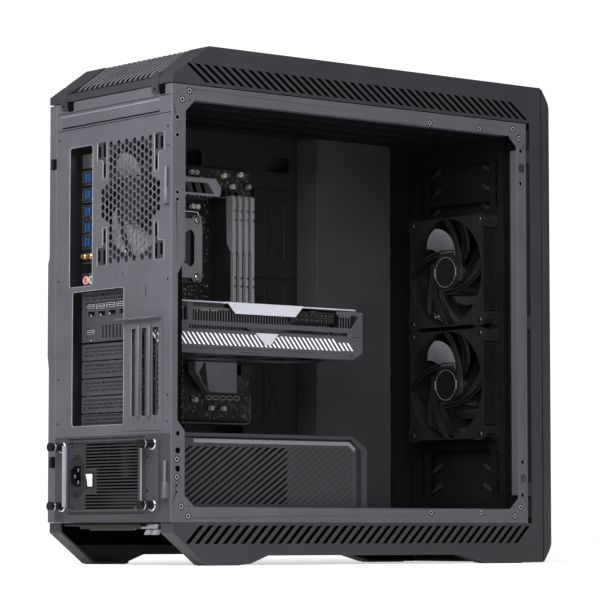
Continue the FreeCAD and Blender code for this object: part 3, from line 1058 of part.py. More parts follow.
def make_slot_covers():
    covers = []
    x_range = (SLOT_LEFT + 1, CARD_BRACKET_X)
    for index in (0, 3, 4, 5, 6, 7):
        high = SLOT_TOP - 0.6 - index * SLOT_PITCH + (0.0 if index == 0 else 0.2)
        low = max(high - SLOT_PITCH + 1.6, SLOT_FLOOR)
        cover = vented_cover(x_range, (low, high))
        tab = block((SLOT_LEFT - 6, SLOT_LEFT + 1.2), (COVER_FACE, HALF_DEPTH - SHEET - 0.2), (low, high))
        covers.append(cover.fuse(tab).removeSplitter())
    upright = []
    for x0 in (-56.8, -77.8, -98.6):
        x_pair = (x0, x0 + 12.4)
        holes = []
        for row in range(14):
            z = 174.0 + row * 6.4
            holes += [rect((x0 + a, x0 + a + 3.6), (z, z + 4.4), 1.0) for a in (2.0, 6.8)]
        upright.append(plate("y", 266.0, 267.0, rect(x_pair, (160.0, 276.0)), holes=holes))
    save("slot_covers", *covers, *upright)

    carrier = plate("y", HALF_DEPTH + 0.1, HALF_DEPTH + 1.3,
                    [(-104.5, 152.0), (-40.0, 152.0), (-40.0, 277.0), (-36.0, 281.0), (-36.0, 292.0, 3.0),
                     (-100.0, 292.0, 3.0), (-104.5, 286.0)],
                    holes=[rect((-98.6, -86.4), (168.0, 267.0), 2.0), rect((-77.8, -65.4), (168.0, 267.0), 2.0),
                           rect((-56.8, -44.6), (168.0, 267.0), 2.0)],
                    bores=[(x, 160.0, 1.6) for x in (-50.5, -71.5, -92.5)])
    shelf = block((-105.0, -23.0), (HALF_DEPTH + 0.1, HALF_DEPTH + 9.0), (277.2, 279.0))
    bars = []
    for x in (-61.0, -82.0):
        bar = plate("z", 167.0, 269.0, rect((x - 3.0, x + 3.0), (HALF_DEPTH + 1.2, HALF_DEPTH + 4.6), 1.4))
        bars.append(bar)
    save("upright_slot_bracket", join([carrier, shelf] + bars))


# ---------------------------------------------------------------- case fans
def fan_frame(middle_x, z, rear):
    """Square fan housing: two flanges, a round duct, corner lugs, motor mount and swept arms."""
    front = rear - FAN_DEPTH
    half = FAN_SIZE / 2
    waist = half - 2.0
    lug = 17.0
    square = []
    for sx, sz in ((-1, -1), (1, -1), (1, 1), (-1, 1)):
        corner = [(sx * half, sz * (half - lug)), (sx * half, sz * half, 7.0), (sx * (half - lug), sz * half)]
        points = [(sx * waist, sz * (half - lug - 2.0))] + corner + [(sx * (half - lug - 2.0), sz * waist)]
        square += points if sx * sz > 0 else points[::-1]
    square = [(middle_x + p[0], z + p[1]) + p[2:] for p in square]
    lugs = [(middle_x + sx * FAN_SCREW, z + sz * FAN_SCREW) for sx in (-1, 1) for sz in (-1, 1)]
    holes = [(x, height, 2.2) for x, height in lugs] + [(middle_x, z, FAN_BORE)]
    near = plate("y", rear - 4.0, rear, square, bores=holes)
    far = plate("y", front, front + 4.0, square, bores=holes)
    duct = rod((middle_x, front, z), "y", FAN_BORE + 0.8, FAN_DEPTH).cut(
        rod((middle_x, front - 1, z), "y", FAN_BORE, FAN_DEPTH + 2))
    posts = [rod((x, front, height), "y", 4.8, FAN_DEPTH).cut(rod((x, front, height), "y", 2.2, FAN_DEPTH))
             for x, height in lugs]
    mount = rod((middle_x, rear - 3.8, z), "y", HUB_RADIUS + 1.5, 3.8)
    mount = mount.cut(rod((middle_x, rear - 4.0, z), "y", 1.55, 3.0))
    arms = []
    depth = (rear - 3.4, rear - 0.2)
    arm_radius, arm_width = 103.0, 1.5
    for offset in (-2.0, 2.0):
        ring = rod((77.7, depth[0], -1.6), "y", arm_radius + offset + arm_width / 2, depth[1] - depth[0])
        ring = ring.cut(rod((77.7, depth[0] - 1, -1.6), "y", arm_radius + offset - arm_width / 2, FAN_DEPTH))
        ring = ring.common(block((-60.0, 20.0), depth, (-12.0, 80.0)))
        ring = ring.common(rod((0.0, depth[0], 0.0), "y", FAN_BORE + 0.6, depth[1] - depth[0]))
        for k in range(4):
            arm = ring.copy()
            arm.rotate(vec(0, 0, 0), NORMALS["y"], 90 * k)
            arm.translate(vec(middle_x, 0, z))
            arms.append(arm)
    arms = [arm.cut(rod((middle_x, rear - 5, z), "y", 2.5, 10)) for arm in arms]
    return join([near, far, duct, mount] + posts + arms)


def make_case_fans(psu_fan_frame):
    save("fan_frames", *[fan_frame(*spot) for spot in FANS.values()], psu_fan_frame)
    for name, (middle_x, z, rear) in FANS.items():
        front = rear - FAN_DEPTH
        hub = rod((middle_x, front + 1.2, z), "y", HUB_RADIUS, 19.2)
        hub = hub.fuse(rod((middle_x, front + 18.0, z), "y", 1.5, 4.8))
        save(name, fan_blades(hub, (middle_x, front + 11.4, z), "y", HUB_RADIUS, FAN_TIP, 7, 34.0, 17.0, 1.8))


# ---------------------------------------------------------------- fasteners
def make_fasteners():
    screws = []
    seat = -HALF_WIDTH + 0.1
    for y, z in CORNER_SCREWS + RAIL_SCREWS:
        screws.append(screw((seat, y, z), "x", 1))
        screws.append(screw((seat, y, LOWER_MIRROR - z), "x", 1))
    for y, z in REAR_POST_SCREWS:
        screws.append(screw((seat, y, z), "x", 1))
    screws += [screw((x, PSU_REAR + 1.1, z), "y", -1, 3.3, 0.1) for x in SCREW_X for z in SCREW_Z]
    screws += [screw((BOARD_X - 1.1, y, z), "x", 1, 2.9, 1.7) for y, z in BOARD_SCREWS]
    save("case_screws", *screws)


os.makedirs("parts", exist_ok=True)
make_open_side()
make_rear()
make_inner_sheets()
make_top_shell()
make_top_grille()
make_base()
make_front()
make_right_panel()
supply_fan_frame = make_power_supply()
make_supply_cover()
make_board()
make_memory()
make_board_slots()
make_card()
make_slot_covers()
make_case_fans(supply_fan_frame)
make_fasteners()
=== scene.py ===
"""Looks of the desktop computer tower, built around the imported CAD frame."""

import math
import random

import bmesh
import bpy
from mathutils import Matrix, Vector


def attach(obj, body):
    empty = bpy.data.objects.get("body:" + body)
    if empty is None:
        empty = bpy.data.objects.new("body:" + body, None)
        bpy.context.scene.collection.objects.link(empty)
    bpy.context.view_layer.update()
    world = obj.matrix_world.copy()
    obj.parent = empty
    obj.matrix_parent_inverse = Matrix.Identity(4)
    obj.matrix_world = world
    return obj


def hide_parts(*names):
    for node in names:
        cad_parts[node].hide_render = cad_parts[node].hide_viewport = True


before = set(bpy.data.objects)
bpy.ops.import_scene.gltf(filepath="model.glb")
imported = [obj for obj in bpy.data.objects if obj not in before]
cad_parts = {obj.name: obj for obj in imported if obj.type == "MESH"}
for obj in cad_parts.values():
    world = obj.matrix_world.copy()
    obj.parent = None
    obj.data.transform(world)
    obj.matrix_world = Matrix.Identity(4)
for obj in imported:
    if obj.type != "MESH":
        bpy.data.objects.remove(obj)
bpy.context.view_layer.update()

MM = 0.001
FRAME_MIDDLE = (-1.4, 12.75, 0.0)      # middle of the steel frame box in the row's frame, millimetres
CHASSIS = "chassis"
AXES = {"x": Vector((1, 0, 0)), "y": Vector((0, 1, 0)), "z": Vector((0, 0, 1))}


# ---- mesh building
def place(plane, level, a, b):
    """Point with in-plane coordinates a, b on the plane x, y or z = level."""
    if plane == "x":
        return Vector((level, a, b))
    if plane == "y":
        return Vector((a, level, b))
    return Vector((a, b, level))


def sleeve(rings, sides):
    """Faces between rings of points that follow each other."""
    faces = []
    for ring in range(rings - 1):
        for k in range(sides):
            a, b = ring * sides + k, ring * sides + (k + 1) % sides
            faces.append([a, b, b + sides, a + sides])
    return faces


def capped(rings, sides):
    """A sleeve with both ends closed."""
    last = (rings - 1) * sides
    return sleeve(rings, sides) + [list(range(sides))[::-1], list(range(last, last + sides))]


def add_object(name, data, location=(0, 0, 0), rotation=(0, 0, 0)):
    thing = bpy.data.objects.new(name, data)
    thing.location = location
    thing.rotation_euler = rotation
    bpy.context.scene.collection.objects.link(thing)
    return thing


class Piece:
    """Collects shells, drawn in millimetres, and turns them into one object."""

    def __init__(self, name, body=CHASSIS):
        self.name = name
        self.body = body
        self.mesh = bmesh.new()
        self.materials = []
        self.current = 0

    def use(self, material):
        if material not in self.materials:
            self.materials.append(material)
        self.current = self.materials.index(material)
        return self

    def shell(self, points, faces):
        verts = [self.mesh.verts.new(Vector(point)) for point in points]
        for face in faces:
            made = self.mesh.faces.new([verts[i] for i in face])
            made.material_index = self.current
        return verts

    def prism(self, plane, low, high, outline, top=None):
        """Solid between two levels; top, if given, is the outline at the high level."""
        count = len(outline)
        points = [place(plane, low, a, b) for a, b in outline]
        points += [place(plane, high, a, b) for a, b in (top or outline)]
        faces = [list(range(count))[::-1], list(range(count, 2 * count))]
        faces += [[k, (k + 1) % count, count + (k + 1) % count, count + k] for k in range(count)]
        self.shell(points, faces)
        return self

    def box(self, x, y, z):
        return self.prism("z", z[0], z[1], [(x[0], y[0]), (x[1], y[0]), (x[1], y[1]), (x[0], y[1])])

    def slab(self, plane, low, high, a_range, b_range, radius):
        """Flat solid with round corners."""
        return self.prism(plane, low, high, rounded(a_range, b_range, radius))

    def washer(self, centre, axis, inner, outer, low, high, sides=32):
        """Ring of rectangular section."""
        section = [(inner, low), (outer, low), (outer, high), (inner, high), (inner, low)]
        return self.lathe(centre, axis, section, sides)

    def disc(self, centre, axis, radius, height, sides=32, core=0.2):
        return self.lathe(centre, axis, [(core, 0), (radius, 0), (radius, height), (core, height)], sides)

    def lathe(self, centre, axis, profile, sides=32):
        """Turned shape: profile is (radius, height) pairs along the axis from the centre."""
        centre = Vector(centre)
        along = AXES[axis]
        first = AXES["x"] if axis != "x" else AXES["y"]
        second = along.cross(first)
        points = []
        for radius, height in profile:
            for k in range(sides):
                angle = math.tau * k / sides
                offset = first * math.cos(angle) + second * math.sin(angle)
                points.append(centre + along * height + offset * radius)
        if profile[0] != profile[-1]:
            faces = capped(len(profile), sides)
        else:
            points = points[:-sides]
            faces = [[index % len(points) for index in face] for face in sleeve(len(profile), sides)]
        self.shell(points, faces)
        return self

    def rod(self, start, axis, radius, length, sides=24):
        edge = min(radius, abs(length)) * 0.12
        step = edge if length > 0 else -edge
        return self.lathe(start, axis, [(radius - edge, 0), (radius, step), (radius, length - step),
                                        (radius - edge, length)], sides)

    def tube(self, path, radius, sides=12):
        """Round wire along a path of points."""
        path = [Vector(p) for p in path]
        rings = []
        side = None
        for index, point in enumerate(path):
            ahead = path[min(index + 1, len(path) - 1)] - path[max(index - 1, 0)]
            ahead.normalize()
            if side is None:
                side = ahead.orthogonal().normalized()
            side = (side - ahead * side.dot(ahead)).normalized()
            up = ahead.cross(side)
            rings.append([point + side * math.cos(math.tau * k / sides) * radius
                          + up * math.sin(math.tau * k / sides) * radius for k in range(sides)])
        self.shell([p for ring in rings for p in ring], capped(len(rings), sides))
        return self

    def rim(self, plane, level, outline, radius):
        """Round wire along a closed outline."""
        ring = [place(plane, level, a, b) for a, b in outline]
        return self.tube(ring + ring[:1], radius, 8)

    def done(self, bevel=0, smooth=35, replaces=(), slot=None):
        bmesh.ops.recalc_face_normals(self.mesh, faces=self.mesh.faces)
        limit = math.radians(smooth)
        for face in self.mesh.faces:
            face.smooth = True
        if not bevel:
            for edge in self.mesh.edges:
                if len(edge.link_faces) == 2 and edge.calc_face_angle(0) > limit:
                    edge.smooth = False
        bmesh.ops.translate(self.mesh, vec=FRAME_MIDDLE, verts=self.mesh.verts)
        bmesh.ops.scale(self.mesh, vec=(MM, MM, MM), verts=self.mesh.verts)
        data = bpy.data.meshes.new(self.name)
        self.mesh.to_mesh(data)
        self.mesh.free()
        for material in self.materials:
            data.materials.append(material)
        piece = add_object(self.name, data)
        if bevel:
            add_bevel(piece, bevel)
        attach(piece, self.body)
        if replaces:
            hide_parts(*replaces)
        return piece


def add_bevel(piece, width):
    modifier = piece.modifiers.new("edge", "BEVEL")
    modifier.width = width * MM
    modifier.segments = 2
    modifier.limit_method = "ANGLE"
    modifier.angle_limit = math.radians(32)
    modifier.harden_normals = True
    modifier.miter_outer = "MITER_ARC"


# ---- materials
class Nodes:
    """Short way to write a node material."""

    def __init__(self, name):
        self.material = bpy.data.materials.new(name)
        self.material.use_nodes = True
        self.tree = self.material.node_tree
        self.shader = self.tree.nodes["Principled BSDF"]
        self.coords = self.add("ShaderNodeTexCoord").outputs["Object"]

    def add(self, kind, inputs=None, **settings):
        """New node; inputs gives sockets, by name or number, a value or a link."""
        node = self.tree.nodes.new(kind)
        for key, value in settings.items():
            setattr(node, key, value)
        for key, value in (inputs or {}).items():
            if isinstance(value, bpy.types.NodeSocket):
                self.link(value, node.inputs[key])
            else:
                node.inputs[key].default_value = value
        return node

    def link(self, source, target):
        self.tree.links.new(source, target)

    def set(self, socket, value):
        self.shader.inputs[socket].default_value = value

    def noise(self, size_mm, detail=4.0, rough=0.6, stretch=(1, 1, 1)):
        mapping = self.add("ShaderNodeMapping", {"Scale": stretch, "Vector": self.coords})
        inputs = {"Scale": 1000 / size_mm, "Detail": detail, "Roughness": rough, "Vector": mapping.outputs["Vector"]}
        return self.add("ShaderNodeTexNoise", inputs).outputs["Fac"]

    def cells(self, size_mm):
        inputs = {"Scale": 1000 / size_mm, "Vector": self.coords}
        return self.add("ShaderNodeTexVoronoi", inputs).outputs["Distance"]

    def ramp(self, source, stops):
        """stops: (position, value or colour)"""
        ramp = self.add("ShaderNodeValToRGB", {"Fac": source})
        elements = ramp.color_ramp.elements
        while len(elements) < len(stops):
            elements.new(0.5)
        for element, (position, value) in zip(elements, stops):
            element.position = position
            element.color = (*value, 1) if isinstance(value, tuple) else (value, value, value, 1)
        return ramp.outputs["Color"]

    def mix(self, factor, first, second):
        first, second = ((*side, 1) if isinstance(side, tuple) else side for side in (first, second))
        return self.add("ShaderNodeMix", {0: factor, 6: first, 7: second}, data_type="RGBA").outputs[2]

    def bump(self, source, height_mm, strength, after=None):
        inputs = {"Distance": height_mm * MM, "Strength": strength, "Height": source}
        if after is not None:
            inputs["Normal"] = after
        return self.add("ShaderNodeBump", inputs).outputs["Normal"]

    def edge_mask(self, width_mm):
        """White along sharp edges, from a rounded normal against the true one."""
        rounded_normal = self.add("ShaderNodeBevel", {"Radius": width_mm * MM}, samples=4).outputs["Normal"]
        true_normal = self.add("ShaderNodeNewGeometry").outputs["Normal"]
        dot = self.add("ShaderNodeVectorMath", {0: rounded_normal, 1: true_normal}, operation="DOT_PRODUCT")
        return self.ramp(dot.outputs["Value"], [(0.9, 1), (0.995, 0)])

    def base(self, value):
        self.link(value, self.shader.inputs["Base Color"])

    def rough(self, value):
        self.link(value, self.shader.inputs["Roughness"])

    def normal(self, value):
        self.link(value, self.shader.inputs["Normal"])


def shade(colour, factor):
    return tuple(min(1, channel * factor) for channel in colour)


def coat(name, colour, rough=0.5, grain=0.55, depth=0.02, edge_wear_and_highlight=0, metal=0, specular=0.5, spread=0.12):
    """Powder coat or moulded surface: fine grain, cloudy tone, smudged roughness, edges lightened partly as wear and
    partly as a painted highlight.
    """
    n = Nodes(name)
    cloud = n.noise(60, 5, 0.55)
    fine = n.noise(grain, 3, 0.7)
    tone = n.ramp(cloud, [(0.32, shade(colour, 1 - spread)), (0.68, shade(colour, 1 + spread))])
    tone = n.mix(n.ramp(fine, [(0.35, 0), (0.65, 0.35)]), tone, shade(colour, 1.35))
    # Edges lightened through the bevel mask: partly wear, partly a painted highlight of edges catching the light.
    if edge_wear_and_highlight:
        tone = n.mix(n.mix(0.5, n.edge_mask(0.5), (0, 0, 0)), tone, shade(colour, 1 + edge_wear_and_highlight))
    n.base(tone)
    smudge = n.noise(24, 6, 0.6)
    n.rough(n.ramp(smudge, [(0.3, rough - 0.07), (0.7, rough + 0.07)]))
    n.normal(n.bump(n.cells(grain), depth, 0.6, n.bump(fine, depth, 0.5)))
    n.set("Metallic", metal)
    n.set("Specular IOR Level", specular)
    return n.material


def brushed(name, colour, rough, along):
    """Bare metal with fine scratches running one way."""
    n = Nodes(name)
    lines = n.noise(0.4, 3, 0.6, along)
    cloud = n.noise(30, 4, 0.5)
    tone = n.ramp(lines, [(0.3, shade(colour, 0.85)), (0.7, shade(colour, 1.1))])
    n.base(n.mix(n.ramp(cloud, [(0.3, 0), (0.7, 0.5)]), tone, shade(colour, 0.92)))
    n.rough(n.ramp(lines, [(0.3, rough - 0.06), (0.7, rough + 0.08)]))
    n.normal(n.bump(lines, 0.01, 0.5))
    n.set("Metallic", 1)
    return n.material


def gloss(name, colour, rough, clear=0):
    """Smooth moulded plastic with faint flow marks."""
    n = Nodes(name)
    flow = n.noise(18, 4, 0.5)
    n.base(n.ramp(flow, [(0.3, shade(colour, 0.85)), (0.7, shade(colour, 1.15))]))
    n.rough(n.ramp(n.noise(6, 5, 0.6), [(0.3, rough - 0.04), (0.7, rough + 0.05)]))
    n.normal(n.bump(n.noise(3, 2, 0.5), 0.01, 0.4))
    n.set("Coat Weight", clear)
    return n.material


def solder_mask(name):
    """Black circuit board: copper tracks and pads faintly raised under the mask."""
    n = Nodes(name)
    cells = n.ramp(n.cells(2.6), [(0.12, 1), (0.2, 0)])
    lines = n.ramp(n.noise(5, 6, 0.8, (1, 1, 6)), [(0.47, 0), (0.5, 1), (0.53, 0)])
    tone = n.mix(lines, (0.0035, 0.0036, 0.0042), (0.016, 0.016, 0.019))
    tone = n.mix(cells, tone, (0.05, 0.05, 0.05))
    n.base(tone)
    n.rough(n.ramp(n.noise(12, 4, 0.6), [(0.3, 0.28), (0.7, 0.42)]))
    n.normal(n.bump(lines, 0.05, 0.8, n.bump(cells, 0.06, 0.5)))
    return n.material


def glow(name, colour, strength):
    """Light guide: a milky plastic that shines evenly."""
    n = Nodes(name)
    n.base(n.ramp(n.noise(14, 3, 0.5), [(0.3, shade(colour, 0.94)), (0.7, colour)]))
    n.rough(n.ramp(n.noise(5, 3, 0.5), [(0.3, 0.3), (0.7, 0.42)]))
    n.set("Emission Color", (*colour, 1))
    n.set("Emission Strength", strength)
    return n.material


STEEL_COAT = coat("steel_coat", (0.08, 0.079, 0.092), 0.42, 0.5, 0.015, edge_wear_and_highlight=3)
SHELL_COAT = coat("shell_coat", (0.027, 0.027, 0.032), 0.46, 0.7, 0.02, edge_wear_and_highlight=3)
BLACK_COAT = coat("black_coat", (0.0045, 0.0045, 0.0055), 0.5, 0.5, 0.015, edge_wear_and_highlight=0.8, specular=0.3)
TRAY_COAT = coat("tray_coat", (0.0048, 0.0048, 0.0058), 0.48, 0.5, 0.015, edge_wear_and_highlight=1.6, specular=0.35)
COVER_COAT = coat("cover_coat", (0.031, 0.03, 0.035), 0.42, 0.5, 0.012, edge_wear_and_highlight=0.8)
BLACK_PLASTIC = coat("black_plastic", (0.008, 0.008, 0.009), 0.46, 0.4, 0.02)
HOUSING_PLASTIC = coat("housing_plastic", (0.011, 0.011, 0.0125), 0.36, 0.35, 0.012)
CARD_PLASTIC = coat("card_plastic", (0.06, 0.06, 0.07), 0.34, 0.4, 0.012, edge_wear_and_highlight=4)
RUBBER = coat("rubber", (0.018, 0.018, 0.018), 0.8, 0.5, 0.03)
SILVER = coat("silver", (0.3, 0.3, 0.33), 0.36, 0.4, 0.006, metal=0.3, edge_wear_and_highlight=0.8, spread=0.05)
SILVER_EDGE = brushed("silver_edge", (0.66, 0.66, 0.7), 0.3, (1, 1, 30))
BRIGHT_STEEL = brushed("bright_steel", (0.8, 0.8, 0.82), 0.16, (1, 1, 20))
PORT_STEEL = brushed("port_steel", (0.55, 0.55, 0.58), 0.3, (1, 20, 1))
DARK_METAL = brushed("dark_metal", (0.1, 0.1, 0.11), 0.36, (1, 20, 1))
FIN_METAL = brushed("fin_metal", (0.34, 0.34, 0.36), 0.34, (1, 1, 20))
SCREW_STEEL = brushed("screw_steel", (0.16, 0.16, 0.18), 0.28, (8, 1, 1))
GOLD = brushed("gold", (0.52, 0.34, 0.18), 0.25, (1, 12, 1))
SMOKED = gloss("smoked_blade", (0.007, 0.007, 0.0085), 0.12, 0.7)
GLOSS_BLACK = gloss("gloss_black", (0.005, 0.005, 0.0055), 0.2)
CONNECTOR = gloss("connector", (0.009, 0.009, 0.01), 0.3)
BLUE = gloss("blue_tongue", (0.014, 0.055, 0.17), 0.3)
PINK = gloss("pink_jack", (0.7, 0.2, 0.28), 0.3)
GREEN = gloss("green_jack", (0.22, 0.62, 0.34), 0.3)
WHITE_PLASTIC = gloss("white_plastic", (0.72, 0.72, 0.7), 0.3)
GREEN_BOARD = gloss("green_board", (0.006, 0.014, 0.008), 0.4)
PCB = solder_mask("solder_mask")
LIGHT_BARS = glow("light_bars", (0.86, 0.87, 0.92), 0.35)
MID_GREY = coat("mid_grey", (0.2, 0.2, 0.22), 0.4, 0.5, 0.01)
CHIPSET_COAT = coat("chipset_coat", (0.25, 0.243, 0.28), 0.38, 0.3, 0.008, metal=0.2, edge_wear_and_highlight=1.2)
STICK_SIDE = coat("stick_side", (0.01, 0.01, 0.011), 0.4, 0.4, 0.01)
STICK_FACE = coat("stick_face", (0.27, 0.27, 0.29), 0.34, 0.4, 0.006, metal=0.3, edge_wear_and_highlight=0.8, spread=0.05)
SOLDER = coat("solder", (0.34, 0.34, 0.36), 0.3, 0.3, 0.01, metal=0.3)
WING_SILVER = coat("wing_silver", (0.6, 0.6, 0.67), 0.34, 0.3, 0.006, metal=0.15, spread=0.03)
SUPPLY_GREY = coat("supply_grey", (0.019, 0.0185, 0.021), 0.5, 0.5, 0.012, edge_wear_and_highlight=0.8)
TRAY_EDGE = coat("tray_edge", (0.19, 0.19, 0.21), 0.35, 0.5, 0.01)
# Half the tone of the steel coat, on the lower rear frame, supply bracket, slot covers and card bracket: partly their
# own darker tone, partly painted shade.
STEEL_DARK_AND_SHADED = coat("steel_dark_and_shaded", (0.04, 0.0395, 0.046), 0.46, 0.5, 0.015, edge_wear_and_highlight=1.6)
# Near-black, almost unreflecting coat: painted shade laid into grooves, seams, holes, pockets, recesses and behind
# slots.
PAINTED_SHADE = coat("painted_shade", (0.0012, 0.0012, 0.0014), 0.85, 0.6, 0.02, specular=0.05)
# Rib caps lighter than the shell coat: a painted highlight, besides their smoother finish.
RIB_COAT_WITH_HIGHLIGHT = coat("rib_coat_with_highlight", (0.075, 0.075, 0.083), 0.3, 0.6, 0.01, edge_wear_and_highlight=2)
# Lighter blade colour: a painted highlight on chosen blades.
BLADE_HIGHLIGHT = gloss("blade_painted_highlight", (0.22, 0.22, 0.24), 0.16, 0.7)
PRESS_LINE = coat("press_line", (0.02, 0.02, 0.023), 0.4, 0.5, 0.01)
# Light grey laid on rims, folds, hole edges and the beam's top edge: a painted highlight.
PAINTED_HIGHLIGHT = coat("painted_highlight", (0.3, 0.3, 0.34), 0.4, 0.5, 0.01)
MID_BLACK = coat("mid_black", (0.03, 0.03, 0.034), 0.4, 0.5, 0.01)
MILKY = coat("milky_bar", (0.16, 0.16, 0.18), 0.3, 0.6, 0.01)

LOOKS = (
    (STEEL_COAT, "side_rails side_post_front side_post_rear rear_panel upright_slot_bracket right_side_panel "
                 "door_hinge_pins"),
    (STEEL_DARK_AND_SHADED, "rear_lower_frame psu_bracket slot_covers card_bracket"),
    (SHELL_COAT, "top_shell top_grille base_skirts front_frame front_cover"),
    (BLACK_COAT, "front_bulkhead roof_plate floor_plate right_frame base_pan"),
    (TRAY_COAT, "motherboard_tray"),
    (COVER_COAT, "cable_cover psu_cover psu_cover_grille"),
    (MILKY, "psu_cover_light"),
    (RUBBER, "foot_pads"),
    (BLACK_PLASTIC, "bottom_dust_filter front_dust_filter power_button"),
    (SCREW_STEEL, "door_magnets case_screws"),
    (SUPPLY_GREY, "psu_case"),
    (GLOSS_BLACK, "thumb_screws"),
    (CONNECTOR, "power_inlet switch_housing memory_slots board_sockets"),
    (WHITE_PLASTIC, "power_switch"),
    (GREEN_BOARD, "psu_board"),
    (SMOKED, "psu_fan card_fan_rear card_fan_middle card_fan_front front_fan_upper front_fan_lower rear_fan"),
    (HOUSING_PLASTIC, "fan_frames"),
    (PCB, "main_board card_board"),
    (PORT_STEEL, "rear_ports"),
    (DARK_METAL, "board_heatsinks cpu_socket processor"),
    (BRIGHT_STEEL, "socket_load_plate socket_lever"),
    (SILVER_EDGE, "memory_modules"),
    (WING_SILVER, "card_backplate"),
    (FIN_METAL, "card_heatsink"),
    (CARD_PLASTIC, "card_shroud"),
)
NODE_MATERIALS = {node: material for material, nodes in LOOKS for node in nodes.split()}
EDGE_WIDTHS = (
    (0.25, "slot_covers"),
    (0.3, "rear_panel rear_lower_frame motherboard_tray thumb_screws card_backplate bottom_dust_filter power_inlet "
          "switch_housing"),
    (0.35, "side_rails side_post_front side_post_rear psu_bracket"),
    (0.4, "upright_slot_bracket cable_cover psu_cover_grille door_hinge_pins power_button"),
    (0.5, "top_shell base_skirts right_side_panel psu_cover card_shroud"),
    (0.6, "power_switch"),
    (1.2, "front_frame front_cover"),
)
BEVELLED = {node: width for width, nodes in EDGE_WIDTHS for node in nodes.split()}


def dress_cad_nodes():
    """Gives each node of the CAD frame its material, and the listed nodes a rounded edge."""
    for node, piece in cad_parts.items():
        piece.data.materials.clear()
        piece.data.materials.append(NODE_MATERIALS[node])
        if node in BEVELLED:
            weld = piece.modifiers.new("weld", "WELD")
            weld.merge_threshold = 0.01 * MM
            add_bevel(piece, BEVELLED[node])


# ---- stage
def brighter_seen(tree, lighting, seen, socket):
    """Gives a socket one strength for what the camera sees and a smaller one for the light it throws."""
    path = tree.nodes.new("ShaderNodeLightPath")
    strength = tree.nodes.new("ShaderNodeMapRange")
    strength.inputs["To Min"].default_value = lighting
    strength.inputs["To Max"].default_value = seen
    tree.links.new(path.outputs["Is Camera Ray"], strength.inputs["Value"])
    tree.links.new(strength.outputs["Result"], socket)


def make_stage():
    """Pale floor, soft lights and the camera."""
    floor = bpy.data.meshes.new("floor")
    size = 30
    floor.from_pydata([(-size, -size, 0), (size, -size, 0), (size, size, 0), (-size, size, 0)], [], [(0, 1, 2, 3)])
    paper = Nodes("floor_paper")
    paper.base(paper.ramp(paper.noise(400), [(0.3, (0.84, 0.84, 0.845)), (0.7, (0.87, 0.87, 0.875))]))
    paper.rough(paper.ramp(paper.noise(120), [(0.3, 0.5), (0.7, 0.6)]))
    paper.set("Specular IOR Level", 0)
    paper.set("Emission Color", (1, 1, 1, 1))
    brighter_seen(paper.tree, 0.12, 0.6, paper.shader.inputs["Emission Strength"])
    floor.materials.append(paper.material)
    add_object("floor", floor)

    world = bpy.data.worlds.new("studio")
    bpy.context.scene.world = world
    world.use_nodes = True
    background = world.node_tree.nodes["Background"]
    background.inputs["Color"].default_value = (1, 1, 1, 1)
    brighter_seen(world.node_tree, 0.16, 1.1, background.inputs["Strength"])

    def facing(direction):
        return Vector(direction).to_track_quat("-Z", "Y").to_euler()

    daylight = bpy.data.lights.new("daylight", "SUN")
    daylight.energy = 1.4
    daylight.angle = math.radians(38)
    add_object("daylight", daylight, rotation=facing((0.6, -0.38, -0.7)))

    middle = (0, 0, 0.3)
    for name, spot, size, power, aim in (
            ("key", (-1.45, 1.5, 1.15), (0.9, 0.9), 23, (0, 0.2, 0.35)),
            ("blade_light", (-1.25, 2.7, 0.75), (0.7, 0.7), 9, (0, -0.2, 0.3)),
            ("top", (-0.3, 0.9, 2.4), (1.2, 0.8), 5, middle),
            ("rear_top", (-0.2, 0.95, 0.74), (0.5, 0.25), 4.6, (0, 0.27, 0.47))):
        light = bpy.data.lights.new(name, "AREA")
        light.shape = "RECTANGLE"
        light.size, light.size_y = size
        light.energy = power
        add_object(name, light, spot, facing(Vector(aim) - Vector(spot)))

    heading, climb = math.radians(128.847), math.radians(4.444)
    camera = bpy.data.cameras.new("camera")
    camera.lens = 179.56
    camera.clip_end = 100
    scene = bpy.context.scene
    scene.camera = add_object("camera", camera, (-2.8018, 2.25715, 0.0371), (math.radians(90) + climb, 0, -heading))
    scene.view_settings.view_transform = "Standard"


# ---- shapes used again and again
def rounded(a_range, b_range, radius):
    """Outline of a rectangle with round corners."""
    (a0, a1), (b0, b1) = a_range, b_range
    points = []
    for ca, cb, start in ((a1 - radius, b1 - radius, 0), (a0 + radius, b1 - radius, 90),
                          (a0 + radius, b0 + radius, 180), (a1 - radius, b0 + radius, 270)):
        for turn in (0, 22.5, 45, 67.5, 90):
            angle = math.radians(start + turn)
            points.append((ca + radius * math.cos(angle), cb + radius * math.sin(angle)))
    return points


def lean_bar(a, low, high, width, run):
    """Outline of a slanted bar: run is how far its upper end is shifted."""
    return [(a, low), (a + width, low), (a + width + run, high), (a + run, high)]


